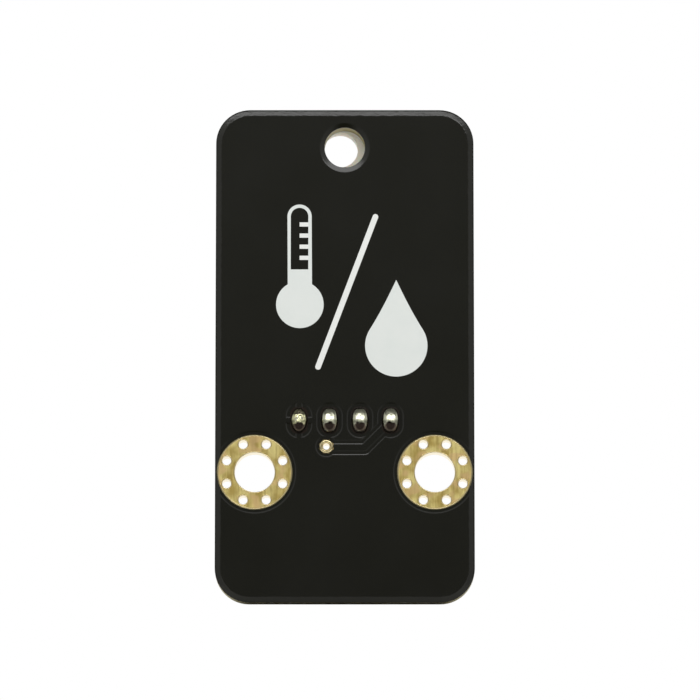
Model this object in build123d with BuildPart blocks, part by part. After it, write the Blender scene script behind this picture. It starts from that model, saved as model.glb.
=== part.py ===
from build123d import *
from math import cos, radians, sin
import os

# Temperature and humidity sensor module, in millimetres.
# A flat board carries a white moulded sensor and a plug connector on its component side.
# X runs to the right and Z up as the solder side is looked at, and Y runs through the board
# from the solder side to the component side. The origin lies on the solder side, midway
# between the two mounting rings. A depth is a distance behind the solder side, along Y.

# Board outline
board_width = 21.6
board_thick = 1.6  # over the lacquer of both faces
board_corner_radius = 2.85
board_foot = 10.9  # from the line through the mounting rings down to the lower edge

# Foil and lacquer on both faces
copper_thick = 0.035
mask_thick = 0.025
edge_pullback = 0.4  # foil kept back from the outline and from the bare hole
copper_gap = 0.37  # bare strip between two areas of foil
mask_relief = 0.05  # lacquer kept back from a land
barrel_wall = 0.05  # plating on the wall of a hole
track_width = 0.53
spoke_width = 0.4  # foil bridges between the ground land and the ground foil
clearance_flat_count = 12  # the foil's round clearances are polygons, as a plotter draws them
small_flat_count = 8  # flats of the small holes and of the round ends of the leads' lands

# Bare hole at the top, in line with the hole in the sensor's tab
top_hole_bore = 3.4
top_hole_setback = 3.2  # from the upper edge of the board down to the hole

# Mounting rings, for M3 screws
ring_pitch = 15.0
ring_diameter = 6.2
ring_bore = 3.4
ring_small_bore = 0.8
ring_small_circle = 5.04
ring_small_count = 8

# Row of four sensor leads
lead_names = ("ground_lead", "spare_lead", "data_lead", "supply_lead")  # from the left
lead_pitch = 2.54
lead_row_z = 4.35
lead_land_width = 1.3
lead_land_height = 2.1
lead_hole_width = 0.9
lead_hole_height = 1.5
lead_width = 0.6
lead_thick = 0.3
lead_bend_radius = 0.9
lead_tip = 0.75  # how far a lead stands out of the solder side
lead_inner_length = 2.6  # part of a lead that lies on the sensor's inner board
lead_slot_gap = 0.05  # play of a lead in the foot of the case
joint_height = 0.6  # height of a solder joint
joint_waist_width = 1.0
joint_waist_height = 1.4
joint_crown_width = 0.8
joint_crown_height = 0.8

# Power via
via_x = -1.54
via_drop = 2.19  # from the lead row down to the via
via_diameter = 1.1
via_bore = 0.55

# Sensor case, soldered slightly askew about its lead row and a little high
sensor_lean = 1.0  # degrees, towards the left as the solder side is seen
sensor_lift = 0.1  # the sensor stands this much higher than its place on the board
case_width = 15.1
case_height = 20.0
case_foot = 1.1  # from the lead row up to the case
case_corner_radius = 1.2
case_wall = 1.0
case_floor = 1.2
back_case_depth = 3.6
front_cover_depth = 4.1
cover_face = 1.0  # thickness of the slotted face
cover_edge_bevel = 0.6
lip_wall = 0.45
lip_height = 0.8
lip_gap = 0.05
tab_hole_bore = 3.0
tab_hole_rise = 2.0  # from the top of the case up to the tab's hole
tab_height = 5.05
tab_thick = 1.6
tab_corner_radius = 3.5

# Slots of the cover
slot_width = 3.3
slot_height = 0.95
slot_columns = 3
slot_rows = 9
slot_pitch_x = 4.2
slot_pitch_z = 1.8

# Board inside the sensor and what it carries
inner_board_thick = 0.8
inner_board_gap = 0.2
post_side = 1.6
post_pitch_x = 10.4
post_pitch_z = 14.8
element_width = 5.2
element_height = 8.2
element_thick = 0.6
element_standoff = 1.1
element_rise = 1.0  # from the middle of the case up to the middle of the element
element_pin_width = 0.5
element_pin_thick = 0.25
element_pin_pitch = 2.5
electrode_thick = 0.05
electrode_margin = 0.5
electrode_finger = 0.25
electrode_fingers = 6  # on each comb
bead_diameter = 1.7
bead_thick = 1.2
bead_rounding = 0.3
bead_x = 4.6
bead_rise = 1.5
bead_standoff = 0.9
bead_wire_diameter = 0.3
bead_wire_pitch = 0.7
chip_width = 3.9
chip_height = 4.9
chip_thick = 1.2
chip_standoff = 0.15
chip_leg_pitch = 1.27
chip_legs_per_side = 4
chip_leg_width = 0.4
chip_leg_thick = 0.2
chip_leg_reach = 1.05
chip_leg_foot = 0.55

# Plug connector, opening towards the lower edge of the board
mouth_setback = 0.8  # from the lower edge of the board up to the mouth
contact_pitch = 2.0
contact_count = 3
contact_size = 0.5
contact_setback = 1.5  # from the mouth to the pin tips
contact_rise = 2.7  # from the component side up to the middle of the pins
contact_tail_length = 1.35
contact_bend_radius = 0.3
contact_pad_width = 1.0
contact_pad_length = 3.5
contact_pad_under = 1.2  # part of a pad that lies under the housing
housing_side_wall = 1.95  # from the outer pin out to the housing's side
housing_height = 5.5
housing_depth = 7.6
socket_side_wall = 0.8
socket_floor = 0.8
socket_roof = 0.8
socket_depth = 5.6
key_slot_width = 1.1
key_slot_length = 3.4
key_slot_inset = 0.55  # from the socket's side to the slot
housing_edge_radius = 0.2
wing_width = 1.0
wing_height = 2.9
wing_length = 3.0
wing_setback = 0.8
anchor_thick = 0.3
anchor_length = 2.2
anchor_height = 2.4
anchor_foot = 1.3
anchor_pad_width = 1.5
anchor_pad_length = 3.4

# Resistor and capacitor between the connector and the leads
small_part_length = 1.6
small_part_width = 0.8
small_part_row_z = 0.75
small_part_cap = 0.35
small_part_cap_wall = 0.03
small_part_pad_width = 0.8
small_part_pad_height = 0.9
small_part_pad_pitch = 1.5
small_part_gap = 0.9  # between the facing ends of the two parts
resistor_thick = 0.45
capacitor_thick = 0.8

# Solder fillets of the parts on the component side
fillet_rise = 0.3
fillet_run = 0.35
fillet_fullness = 0.32  # share of the rise and of the run at the middle of the hollow

# Levels and lines worked out from the sizes above
foil_level = mask_thick  # from a face of the board down to its foil
core_level = mask_thick + copper_thick  # from a face of the board down to the laminate
core_thick = board_thick - 2 * core_level
land_depth = board_thick - foil_level  # depth of the lands on the component side
top_hole_z = lead_row_z + case_foot + case_height + tab_hole_rise
board_height = board_foot + top_hole_z + top_hole_setback
board_centre_z = board_height / 2 - board_foot
mouth_z = mouth_setback - board_foot
via_z = lead_row_z - via_drop
ring_xs = (-ring_pitch / 2, ring_pitch / 2)
lead_xs = [(index - (len(lead_names) - 1) / 2) * lead_pitch for index in range(len(lead_names))]
ground_x = lead_xs[0]
data_x = lead_xs[-2]
supply_x = lead_xs[-1]
contact_xs = [(index - (contact_count - 1) / 2) * contact_pitch for index in range(contact_count)]
small_part_x = (small_part_length + small_part_gap) / 2
housing_width = contact_xs[-1] - contact_xs[0] + 2 * housing_side_wall
anchor_x = housing_width / 2 + wing_width / 2 + anchor_thick / 2
anchor_pad_x = anchor_x + anchor_foot - anchor_pad_width / 2
anchor_z = mouth_z + wing_setback + wing_length / 2
contact_pad_z = mouth_z + housing_depth - contact_pad_under + contact_pad_length / 2
parting_depth = board_thick + back_case_depth
lead_depth = parting_depth + lead_thick / 2
case_centre = case_foot + case_height / 2


def board_plane(depth):
    """Plane across the board at a depth; x runs right and y up as the solder side is seen."""
    return Plane.XZ.offset(-depth)


def layer_plane(side, level):
    """Plane at a level below the solder or the component face of the board."""
    return board_plane(level if side == "solder" else board_thick - level)


def inward(side, thick):
    """Amount that extrudes from a layer plane into the board."""
    return -thick if side == "solder" else thick


def sensor_plane(depth):
    """Plane across the sensor at a depth, turned with it about the middle of the lead row."""
    lean = radians(sensor_lean)
    pivot = (0, depth, lead_row_z + sensor_lift)
    return Plane(origin=pivot, x_dir=(cos(lean), 0, sin(lean)), z_dir=(0, -1, 0))


def small_round(radius, mode=Mode.ADD):
    """Small round shape, drawn with few flats because there are many of them."""
    RegularPolygon(
        radius, small_flat_count, major_radius=False, rotation=180 / small_flat_count, mode=mode
    )


def oblong(width, height):
    """Upright oblong as a sketch, with round ends drawn like the small round shapes."""
    with BuildSketch(mode=Mode.PRIVATE) as shape:
        Rectangle(width, height - width)
        with GridLocations(0, height - width, 1, 2):
            small_round(width / 2)
    return shape.sketch


def round_clearance(centre, radius):
    """Round area that the foil keeps clear of, as a polygon."""
    with Locations(centre):
        RegularPolygon(radius, clearance_flat_count, major_radius=False, mode=Mode.SUBTRACT)


def board_outline(inset=0.0):
    """Outline of the board, drawn in by an inset."""
    with Locations((0, board_centre_z)):
        RectangleRounded(
            board_width - 2 * inset, board_height - 2 * inset, board_corner_radius - inset
        )


def top_hole(mode=Mode.ADD):
    """The bare hole at the top of the board."""
    with Locations((0, top_hole_z)):
        Circle(top_hole_bore / 2, mode=mode)


def ring_lands(xs, grow=0.0, mode=Mode.ADD):
    """Round lands of the mounting rings."""
    with Locations(*[(x, 0) for x in xs]):
        Circle(ring_diameter / 2 + grow, mode=mode)


def ring_holes(xs, grow=0.0, mode=Mode.ADD):
    """Screw hole of each mounting ring and the small holes around it."""
    with Locations(*[(x, 0) for x in xs]):
        Circle(ring_bore / 2 + grow, mode=mode)
        with PolarLocations(
            ring_small_circle / 2, ring_small_count, start_angle=180 / ring_small_count
        ):
            small_round(ring_small_bore / 2 + grow, mode)


def lead_lands(grow=0.0, mode=Mode.ADD):
    """Oblong lands of the four leads."""
    with Locations(*[(x, lead_row_z) for x in lead_xs]):
        add(oblong(lead_land_width + 2 * grow, lead_land_height + 2 * grow), mode=mode)


def lead_holes(grow=0.0, mode=Mode.ADD):
    """Oblong holes of the four leads."""
    with Locations(*[(x, lead_row_z) for x in lead_xs]):
        add(oblong(lead_hole_width + 2 * grow, lead_hole_height + 2 * grow), mode=mode)


def via_land(grow=0.0, mode=Mode.ADD):
    """Land of the power via."""
    with Locations((via_x, via_z)):
        small_round(via_diameter / 2 + grow, mode)


def via_hole(grow=0.0, mode=Mode.ADD):
    """Hole of the power via."""
    with Locations((via_x, via_z)):
        small_round(via_bore / 2 + grow, mode)


def ground_spokes():
    """Cross of foil that joins the ground land to the ground foil around it."""
    bridge = copper_gap + spoke_width / 2
    with Locations((ground_x, lead_row_z)):
        Rectangle(lead_land_width + 2 * bridge, spoke_width)
        Rectangle(spoke_width, lead_land_height + 2 * bridge)


def track(points, grow=0.0, mode=Mode.ADD):
    """Foil track through a list of points."""
    with BuildLine() as route:
        Polyline(*points)
    trace(route.line, line_width=track_width + 2 * grow, mode=mode)


def solder_side_tracks(grow=0.0, mode=Mode.ADD):
    """The supply track, level from the via and then at 45 degrees up to the supply land."""
    bend_x = supply_x - (lead_row_z - via_z)
    track([(via_x, via_z), (bend_x, via_z), (supply_x, lead_row_z)], grow, mode)


def component_side_tracks(grow=0.0, mode=Mode.ADD):
    """Supply track from the middle contact to the via, and data track up to its lead."""
    supply_bend_x = via_x + via_z - small_part_row_z
    data_bend_z = lead_row_z - (contact_xs[-1] - data_x)
    supply_pad = (contact_xs[1], contact_pad_z)
    data_pad = (contact_xs[-1], contact_pad_z)
    track([supply_pad, (contact_xs[1], small_part_row_z)], grow, mode)
    track([(supply_bend_x, small_part_row_z), (via_x, via_z)], grow, mode)
    track([data_pad, (contact_xs[-1], data_bend_z), (data_x, lead_row_z)], grow, mode)


def component_pads(grow=0.0, mode=Mode.ADD):
    """Pads of the connector's contacts and anchors, and of the two small parts."""
    with Locations(*[(x, contact_pad_z) for x in contact_xs]):
        Rectangle(contact_pad_width + 2 * grow, contact_pad_length + 2 * grow, mode=mode)
    with Locations((-anchor_pad_x, anchor_z), (anchor_pad_x, anchor_z)):
        Rectangle(anchor_pad_width + 2 * grow, anchor_pad_length + 2 * grow, mode=mode)
    with Locations((-small_part_x, small_part_row_z), (small_part_x, small_part_row_z)):
        with GridLocations(small_part_pad_pitch, 0, 2, 1):
            Rectangle(small_part_pad_width + 2 * grow, small_part_pad_height + 2 * grow, mode=mode)


def foil_picture(side):
    """All the foil of one face as a flat sketch."""
    with BuildSketch() as picture:
        board_outline(edge_pullback)
        round_clearance((0, top_hole_z), top_hole_bore / 2 + edge_pullback)
        for x in ring_xs:
            round_clearance((x, 0), ring_diameter / 2 + copper_gap)
        lead_lands(copper_gap, Mode.SUBTRACT)
        via_land(copper_gap, Mode.SUBTRACT)
        if side == "solder":
            solder_side_tracks(copper_gap, Mode.SUBTRACT)
            solder_side_tracks()
        else:
            component_side_tracks(copper_gap, Mode.SUBTRACT)
            component_pads(copper_gap, Mode.SUBTRACT)
            component_side_tracks()
            component_pads()
        ground_spokes()
        ring_lands(ring_xs)
        lead_lands()
        via_land()
    return picture.sketch


def foil(side):
    """Etched foil of one face, without the lands that belong to plated holes."""
    with BuildPart() as layer:
        with BuildSketch(layer_plane(side, foil_level)):
            add(foil_picture(side))
            ring_lands(ring_xs, mode=Mode.SUBTRACT)
            lead_lands(mode=Mode.SUBTRACT)
            via_land(mode=Mode.SUBTRACT)
        extrude(amount=inward(side, copper_thick))
    return layer


def solder_mask(side):
    """Lacquer of one face, which fills in round the foil and leaves the lands bare."""
    with BuildPart() as mask:
        with BuildSketch(layer_plane(side, 0)):
            board_outline()
        extrude(amount=inward(side, core_level))
        with BuildSketch(layer_plane(side, foil_level)):
            add(foil_picture(side))
        extrude(amount=inward(side, copper_thick), mode=Mode.SUBTRACT)
        with BuildSketch(layer_plane(side, 0)):
            top_hole()
            ring_lands(ring_xs, mask_relief)
            lead_lands(mask_relief)
            via_land(mask_relief)
            if side == "component":
                component_pads(mask_relief)
        extrude(amount=inward(side, core_level), mode=Mode.SUBTRACT)
    return mask


def plated_hole(draw_lands, draw_holes):
    """Plating of one or more holes: lands on both faces joined by the plated walls."""
    full_thick = board_thick - 2 * foil_level
    with BuildPart() as plating:
        with BuildSketch(board_plane(foil_level)):
            draw_lands()
        extrude(amount=-full_thick)
        with BuildSketch(board_plane(core_level)):
            draw_lands(grow=barrel_wall)
            draw_holes(grow=barrel_wall, mode=Mode.SUBTRACT)
        extrude(amount=-core_thick, mode=Mode.SUBTRACT)
        with BuildSketch(board_plane(foil_level)):
            draw_holes()
        extrude(amount=-full_thick, mode=Mode.SUBTRACT)
    return plating


def ring_plating(x):
    """Gilded mounting ring centred at x."""
    return plated_hole(
        lambda **options: ring_lands([x], **options),
        lambda **options: ring_holes([x], **options),
    )


# Laminate with its drilled holes
with BuildPart() as circuit_board:
    with BuildSketch(board_plane(core_level)):
        board_outline()
        top_hole(mode=Mode.SUBTRACT)
        ring_holes(ring_xs, barrel_wall, Mode.SUBTRACT)
        lead_holes(barrel_wall, Mode.SUBTRACT)
        via_hole(barrel_wall, Mode.SUBTRACT)
    extrude(amount=-core_thick)

solder_side_copper = foil("solder")
component_side_copper = foil("component")
solder_side_mask = solder_mask("solder")
component_side_mask = solder_mask("component")
left_ring_plating = ring_plating(ring_xs[0])
right_ring_plating = ring_plating(ring_xs[1])
power_via_plating = plated_hole(via_land, via_hole)
lead_hole_plating = plated_hole(lead_lands, lead_holes)


def sensor_lead(x):
    """Flat lead from the sensor's inner board down and through the board."""
    inner_end_z = lead_row_z + case_foot + case_wall + inner_board_gap + lead_inner_length
    with BuildPart() as lead:
        with BuildSketch(Plane.YZ.offset(x)):
            with BuildLine():
                FilletPolyline(
                    (lead_depth, inner_end_z),
                    (lead_depth, lead_row_z),
                    (-lead_tip, lead_row_z),
                    radius=lead_bend_radius,
                )
            trace(line_width=lead_thick)
        extrude(amount=lead_width / 2, both=True)
    return lead


leads = {name: sensor_lead(x) for name, x in zip(lead_names, lead_xs)}

# Solder that fills the lead holes and rises round the leads on the solder side
with BuildPart() as sensor_solder_joints:
    for x in lead_xs:
        with BuildSketch(board_plane(foil_level)):
            with Locations((x, lead_row_z)):
                add(oblong(lead_land_width, lead_land_height))
        with BuildSketch(board_plane(-joint_height / 2)):
            with Locations((x, lead_row_z)):
                add(oblong(joint_waist_width, joint_waist_height))
        with BuildSketch(board_plane(-joint_height)):
            with Locations((x, lead_row_z)):
                add(oblong(joint_crown_width, joint_crown_height))
        loft(ruled=True)
    with BuildSketch(board_plane(foil_level)):
        lead_holes()
    extrude(amount=-(board_thick - 2 * foil_level))
    with BuildSketch(board_plane(-lead_tip)):
        with Locations(*[(x, lead_row_z) for x in lead_xs]):
            Rectangle(lead_width, lead_thick)
    extrude(amount=-(lead_tip + board_thick), mode=Mode.SUBTRACT)


def case_outline(inset=0.0):
    """Outline of the sensor's case without its tab, drawn in by an inset."""
    with Locations((0, case_centre)):
        RectangleRounded(
            case_width - 2 * inset, case_height - 2 * inset, case_corner_radius - inset
        )


def case_pocket(mode=Mode.ADD):
    """Inside of the case's walls."""
    with Locations((0, case_centre)):
        Rectangle(case_width - 2 * case_wall, case_height - 2 * case_wall, mode=mode)


def lead_slots(clearance):
    """Openings for the leads in the foot of the case."""
    with Locations(*[(x, case_foot + case_wall / 2) for x in lead_xs]):
        Rectangle(lead_width + 2 * clearance, case_wall + 2 * clearance)


# Back half of the sensor's case, with the fixing tab, the posts and the lap lip
with BuildPart() as sensor_back_case:
    with BuildSketch(sensor_plane(board_thick)):
        case_outline()
    extrude(amount=-back_case_depth)
    with BuildSketch(sensor_plane(board_thick)) as tab_outline:
        with Locations((0, case_foot + case_height)):
            Rectangle(case_width, 2 * tab_height)
        fillet(tab_outline.vertices().group_by(Axis.Y)[-1], radius=tab_corner_radius)
    extrude(amount=-tab_thick)
    with BuildSketch(sensor_plane(board_thick + case_floor)):
        case_pocket()
    extrude(amount=-(back_case_depth - case_floor), mode=Mode.SUBTRACT)
    with BuildSketch(sensor_plane(parting_depth)):
        case_outline(case_wall - lip_wall)
        case_pocket(Mode.SUBTRACT)
    extrude(amount=-lip_height)
    with BuildSketch(sensor_plane(parting_depth)):
        lead_slots(lead_slot_gap)
    extrude(amount=-lip_height, mode=Mode.SUBTRACT)
    with BuildSketch(sensor_plane(board_thick + case_floor)):
        with Locations((0, case_centre)):
            with GridLocations(post_pitch_x, post_pitch_z, 2, 2):
                Rectangle(post_side, post_side)
    extrude(amount=-(back_case_depth - case_floor - inner_board_thick))
    with BuildSketch(sensor_plane(board_thick)):
        with Locations((0, case_foot + case_height + tab_hole_rise)):
            Circle(tab_hole_bore / 2)
    extrude(amount=-tab_thick, mode=Mode.SUBTRACT)

# Front half of the sensor's case, with its grille of slots
with BuildPart() as sensor_front_cover:
    with BuildSketch(sensor_plane(parting_depth)):
        case_outline()
    extrude(amount=-front_cover_depth)
    chamfer(sensor_front_cover.faces().sort_by(Axis.Y)[-1].edges(), length=cover_edge_bevel)
    with BuildSketch(sensor_plane(parting_depth)):
        case_pocket()
    extrude(amount=-(front_cover_depth - cover_face), mode=Mode.SUBTRACT)
    with BuildSketch(sensor_plane(parting_depth)):
        case_outline(case_wall - lip_wall - lip_gap)
    extrude(amount=-(lip_height + lip_gap), mode=Mode.SUBTRACT)
    with BuildSketch(sensor_plane(parting_depth)):
        lead_slots(lead_slot_gap)
    extrude(amount=-(lead_thick + lead_slot_gap), mode=Mode.SUBTRACT)
    with BuildSketch(sensor_plane(parting_depth + front_cover_depth)):
        with Locations((0, case_centre)):
            with GridLocations(slot_pitch_x, slot_pitch_z, slot_columns, slot_rows):
                Rectangle(slot_width, slot_height)
    extrude(amount=cover_face, mode=Mode.SUBTRACT)

# Small board inside the sensor, cemented onto the four posts
with BuildPart() as sensor_inner_board:
    inner_inset = case_wall + inner_board_gap
    with BuildSketch(sensor_plane(parting_depth)):
        with Locations((0, case_centre)):
            Rectangle(case_width - 2 * inner_inset, case_height - 2 * inner_inset)
    extrude(amount=inner_board_thick)

# Humidity element: a ceramic plate on two flat pins, with a pair of combs on its face
element_depth = parting_depth + element_standoff
with BuildPart() as humidity_element:
    with BuildSketch(sensor_plane(element_depth)):
        with Locations((0, case_centre + element_rise)):
            Rectangle(element_width, element_height)
    extrude(amount=-element_thick)

with BuildPart() as humidity_element_pins:
    with BuildSketch(sensor_plane(parting_depth)):
        with Locations((0, case_centre + element_rise - element_height / 2 + electrode_margin)):
            with GridLocations(element_pin_pitch, 0, 2, 1):
                Rectangle(element_pin_width, element_pin_thick)
    extrude(amount=-element_standoff)

comb_width = element_width - 2 * electrode_margin
comb_height = element_height - 2 * electrode_margin
finger_pitch = (comb_height - electrode_finger) / (2 * electrode_fingers - 1)
finger_length = comb_width - 2 * electrode_finger - electrode_margin / 2
with BuildPart() as humidity_electrodes:
    with BuildSketch(sensor_plane(element_depth + element_thick)):
        for hand in (-1, 1):
            with Locations((hand * (comb_width - electrode_finger) / 2, case_centre + element_rise)):
                Rectangle(electrode_finger, comb_height)
            finger_x = hand * (comb_width / 2 - electrode_finger - finger_length / 2)
            finger_z = case_centre + element_rise + hand * finger_pitch / 2
            with Locations((finger_x, finger_z)):
                with GridLocations(0, 2 * finger_pitch, 1, electrode_fingers):
                    Rectangle(finger_length, electrode_finger)
    extrude(amount=-electrode_thick)

# Thermistor: a dipped bead on two wires
with BuildPart() as thermistor_wires:
    with BuildSketch(sensor_plane(parting_depth)):
        with Locations((bead_x, case_centre + bead_rise)):
            with GridLocations(0, bead_wire_pitch, 1, 2):
                small_round(bead_wire_diameter / 2)
    extrude(amount=-(bead_standoff + bead_thick / 2))

with BuildPart() as thermistor_bead:
    with BuildSketch(sensor_plane(parting_depth + bead_standoff)):
        with Locations((bead_x, case_centre + bead_rise)):
            small_round(bead_diameter / 2)
    extrude(amount=-bead_thick)
    chamfer(thermistor_bead.faces().filter_by(Axis.Y).edges(), length=bead_rounding)
    add(thermistor_wires.part, mode=Mode.SUBTRACT)

# Controller chip under the inner board, and its gull-wing legs
inner_rear_depth = parting_depth - inner_board_thick
with BuildPart() as sensor_controller_chip:
    with BuildSketch(sensor_plane(inner_rear_depth - chip_standoff)):
        with Locations((0, case_centre)):
            Rectangle(chip_width, chip_height)
    extrude(amount=chip_thick)


def leg_plane(rise):
    """Plane across the chip at a height above the lead row; x runs right and y is the depth."""
    across = sensor_plane(0)
    return Plane(origin=across.origin + across.y_dir * rise, x_dir=across.x_dir, z_dir=across.y_dir)


with BuildPart() as sensor_chip_legs:
    leg_root = inner_rear_depth - chip_standoff - chip_thick / 2
    leg_foot = inner_rear_depth - chip_leg_thick / 2
    foot_start = chip_width / 2 + chip_leg_reach - chip_leg_foot
    for index in range(chip_legs_per_side):
        rise = case_centre + (index - (chip_legs_per_side - 1) / 2) * chip_leg_pitch
        with BuildSketch(leg_plane(rise)):
            for hand in (-1, 1):
                with BuildLine():
                    Polyline(
                        (hand * chip_width / 2, leg_root),
                        (hand * foot_start, leg_root),
                        (hand * foot_start, leg_foot),
                        (hand * (foot_start + chip_leg_foot), leg_foot),
                    )
                trace(line_width=chip_leg_thick)
        extrude(amount=chip_leg_width / 2, both=True)

# Contacts of the connector: square pins that bend down to the board behind the housing
contact_depth = board_thick + contact_rise
contact_drop_z = mouth_z + housing_depth + contact_size / 2 + fillet_rise
contact_foot_depth = land_depth + contact_size / 2
contact_end_z = contact_drop_z + contact_tail_length - contact_size / 2
with BuildPart() as connector_contacts:
    for x in contact_xs:
        with BuildSketch(Plane.YZ.offset(x)):
            with BuildLine():
                FilletPolyline(
                    (contact_depth, mouth_z + contact_setback),
                    (contact_depth, contact_drop_z),
                    (contact_foot_depth, contact_drop_z),
                    (contact_foot_depth, contact_end_z),
                    radius=contact_bend_radius,
                )
            trace(line_width=contact_size)
        extrude(amount=contact_size / 2, both=True)

# Metal tabs that hold the connector down at its sides
anchor_foot_depth = land_depth + anchor_thick / 2
with BuildPart() as connector_anchor_tabs:
    with BuildSketch(Plane.XY.offset(anchor_z)):
        with BuildLine():
            FilletPolyline(
                (anchor_x, land_depth + anchor_height),
                (anchor_x, anchor_foot_depth),
                (anchor_x + anchor_foot - anchor_thick / 2, anchor_foot_depth),
                radius=anchor_thick,
            )
        trace(line_width=anchor_thick)
    extrude(amount=anchor_length / 2, both=True)
    mirror(about=Plane.YZ)

# Moulded housing of the connector
mouth_plane = Plane.XY.offset(mouth_z)
socket_width = housing_width - 2 * socket_side_wall
socket_height = housing_height - socket_floor - socket_roof
with BuildPart() as connector_housing:
    with BuildSketch(mouth_plane):
        with Locations((0, board_thick + housing_height / 2)):
            Rectangle(housing_width, housing_height)
    extrude(amount=housing_depth)
    fillet(
        connector_housing.edges().filter_by(Axis.Z).group_by(Axis.Y)[-1],
        radius=housing_edge_radius,
    )
    with BuildSketch(mouth_plane.offset(wing_setback)):
        with Locations((0, board_thick + wing_height / 2)):
            Rectangle(housing_width + 2 * wing_width, wing_height)
    extrude(amount=wing_length)
    with BuildSketch(mouth_plane):
        with Locations((0, board_thick + socket_floor + socket_height / 2)):
            Rectangle(socket_width, socket_height)
    extrude(amount=socket_depth, mode=Mode.SUBTRACT)
    with BuildSketch(board_plane(board_thick + housing_height)):
        key_slot_x = socket_width / 2 - key_slot_inset - key_slot_width / 2
        with Locations((0, mouth_z + key_slot_length / 2)):
            with GridLocations(2 * key_slot_x, 0, 2, 1):
                Rectangle(key_slot_width, key_slot_length)
    extrude(amount=socket_roof, mode=Mode.SUBTRACT)
    add(connector_contacts.part, mode=Mode.SUBTRACT)
    add(connector_anchor_tabs.part, mode=Mode.SUBTRACT)


def solder_fillet(corner, outward, length):
    """Concave solder fillet that climbs from a land up the end of the part at its corner."""
    outward = Vector(*outward)
    end_plane = Plane(origin=corner, x_dir=outward, z_dir=outward.cross(Vector(0, 1, 0)))
    with BuildSketch(end_plane) as profile:
        with BuildLine():
            Line((0, 0), (fillet_run, 0))
            hollow = (fillet_run * fillet_fullness, fillet_rise * fillet_fullness)
            ThreePointArc((fillet_run, 0), hollow, (0, fillet_rise))
            Line((0, fillet_rise), (0, 0))
        make_face()
    extrude(profile.sketch, amount=length / 2, both=True)


with BuildPart() as connector_solder_fillets:
    for x in contact_xs:
        solder_fillet((x, land_depth, contact_end_z), (0, 0, 1), contact_size)
    anchor_end_x = anchor_x + anchor_foot - anchor_thick / 2
    for hand in (-1, 1):
        solder_fillet((hand * anchor_end_x, land_depth, anchor_z), (hand, 0, 0), anchor_length)


def small_part_body(x, thick):
    """Ceramic body of a small two-ended part lying along X."""
    with BuildPart() as body:
        with BuildSketch(board_plane(land_depth + small_part_cap_wall)):
            with Locations((x, small_part_row_z)):
                Rectangle(
                    small_part_length - 2 * small_part_cap_wall,
                    small_part_width - 2 * small_part_cap_wall,
                )
        extrude(amount=-(thick - 2 * small_part_cap_wall))
    return body


def small_part_caps(x, thick, body):
    """Metal end caps of a small part, wrapped round the ends of its body."""
    with BuildPart() as caps:
        with BuildSketch(board_plane(land_depth)):
            with Locations((x, small_part_row_z)):
                with GridLocations(small_part_length - small_part_cap, 0, 2, 1):
                    Rectangle(small_part_cap, small_part_width)
        extrude(amount=-thick)
        add(body.part, mode=Mode.SUBTRACT)
    return caps


pull_up_resistor = small_part_body(small_part_x, resistor_thick)
resistor_end_caps = small_part_caps(small_part_x, resistor_thick, pull_up_resistor)
bypass_capacitor = small_part_body(-small_part_x, capacitor_thick)
capacitor_end_caps = small_part_caps(-small_part_x, capacitor_thick, bypass_capacitor)

with BuildPart() as small_part_solder_fillets:
    for x in (-small_part_x, small_part_x):
        for hand in (-1, 1):
            end_x = x + hand * small_part_length / 2
            solder_fillet((end_x, land_depth, small_part_row_z), (hand, 0, 0), small_part_width)

nodes = {
    "circuit_board": circuit_board,
    "solder_side_copper": solder_side_copper,
    "component_side_copper": component_side_copper,
    "solder_side_mask": solder_side_mask,
    "component_side_mask": component_side_mask,
    "left_ring_plating": left_ring_plating,
    "right_ring_plating": right_ring_plating,
    "power_via_plating": power_via_plating,
    "lead_hole_plating": lead_hole_plating,
    **leads,
    "sensor_solder_joints": sensor_solder_joints,
    "sensor_back_case": sensor_back_case,
    "sensor_front_cover": sensor_front_cover,
    "sensor_inner_board": sensor_inner_board,
    "humidity_element": humidity_element,
    "humidity_element_pins": humidity_element_pins,
    "humidity_electrodes": humidity_electrodes,
    "thermistor_wires": thermistor_wires,
    "thermistor_bead": thermistor_bead,
    "sensor_controller_chip": sensor_controller_chip,
    "sensor_chip_legs": sensor_chip_legs,
    "connector_contacts": connector_contacts,
    "connector_anchor_tabs": connector_anchor_tabs,
    "connector_housing": connector_housing,
    "connector_solder_fillets": connector_solder_fillets,
    "pull_up_resistor": pull_up_resistor,
    "resistor_end_caps": resistor_end_caps,
    "bypass_capacitor": bypass_capacitor,
    "capacitor_end_caps": capacitor_end_caps,
    "small_part_solder_fillets": small_part_solder_fillets,
}

os.makedirs("parts", exist_ok=True)
for name, node in nodes.items():
    node.part.label = name
    export_step(node.part, f"parts/{name}.step")
    print(name, round(node.part.volume, 4))
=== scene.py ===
"""Dresses the packed temperature and humidity sensor module in its real finishes.

The board stands upright. Its solder side faces -Y, towards the camera, and the sensor and the
plug connector lie behind it. Lengths are in metres, in the frame of the packed model, except
where millimetres are named.
"""

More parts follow.
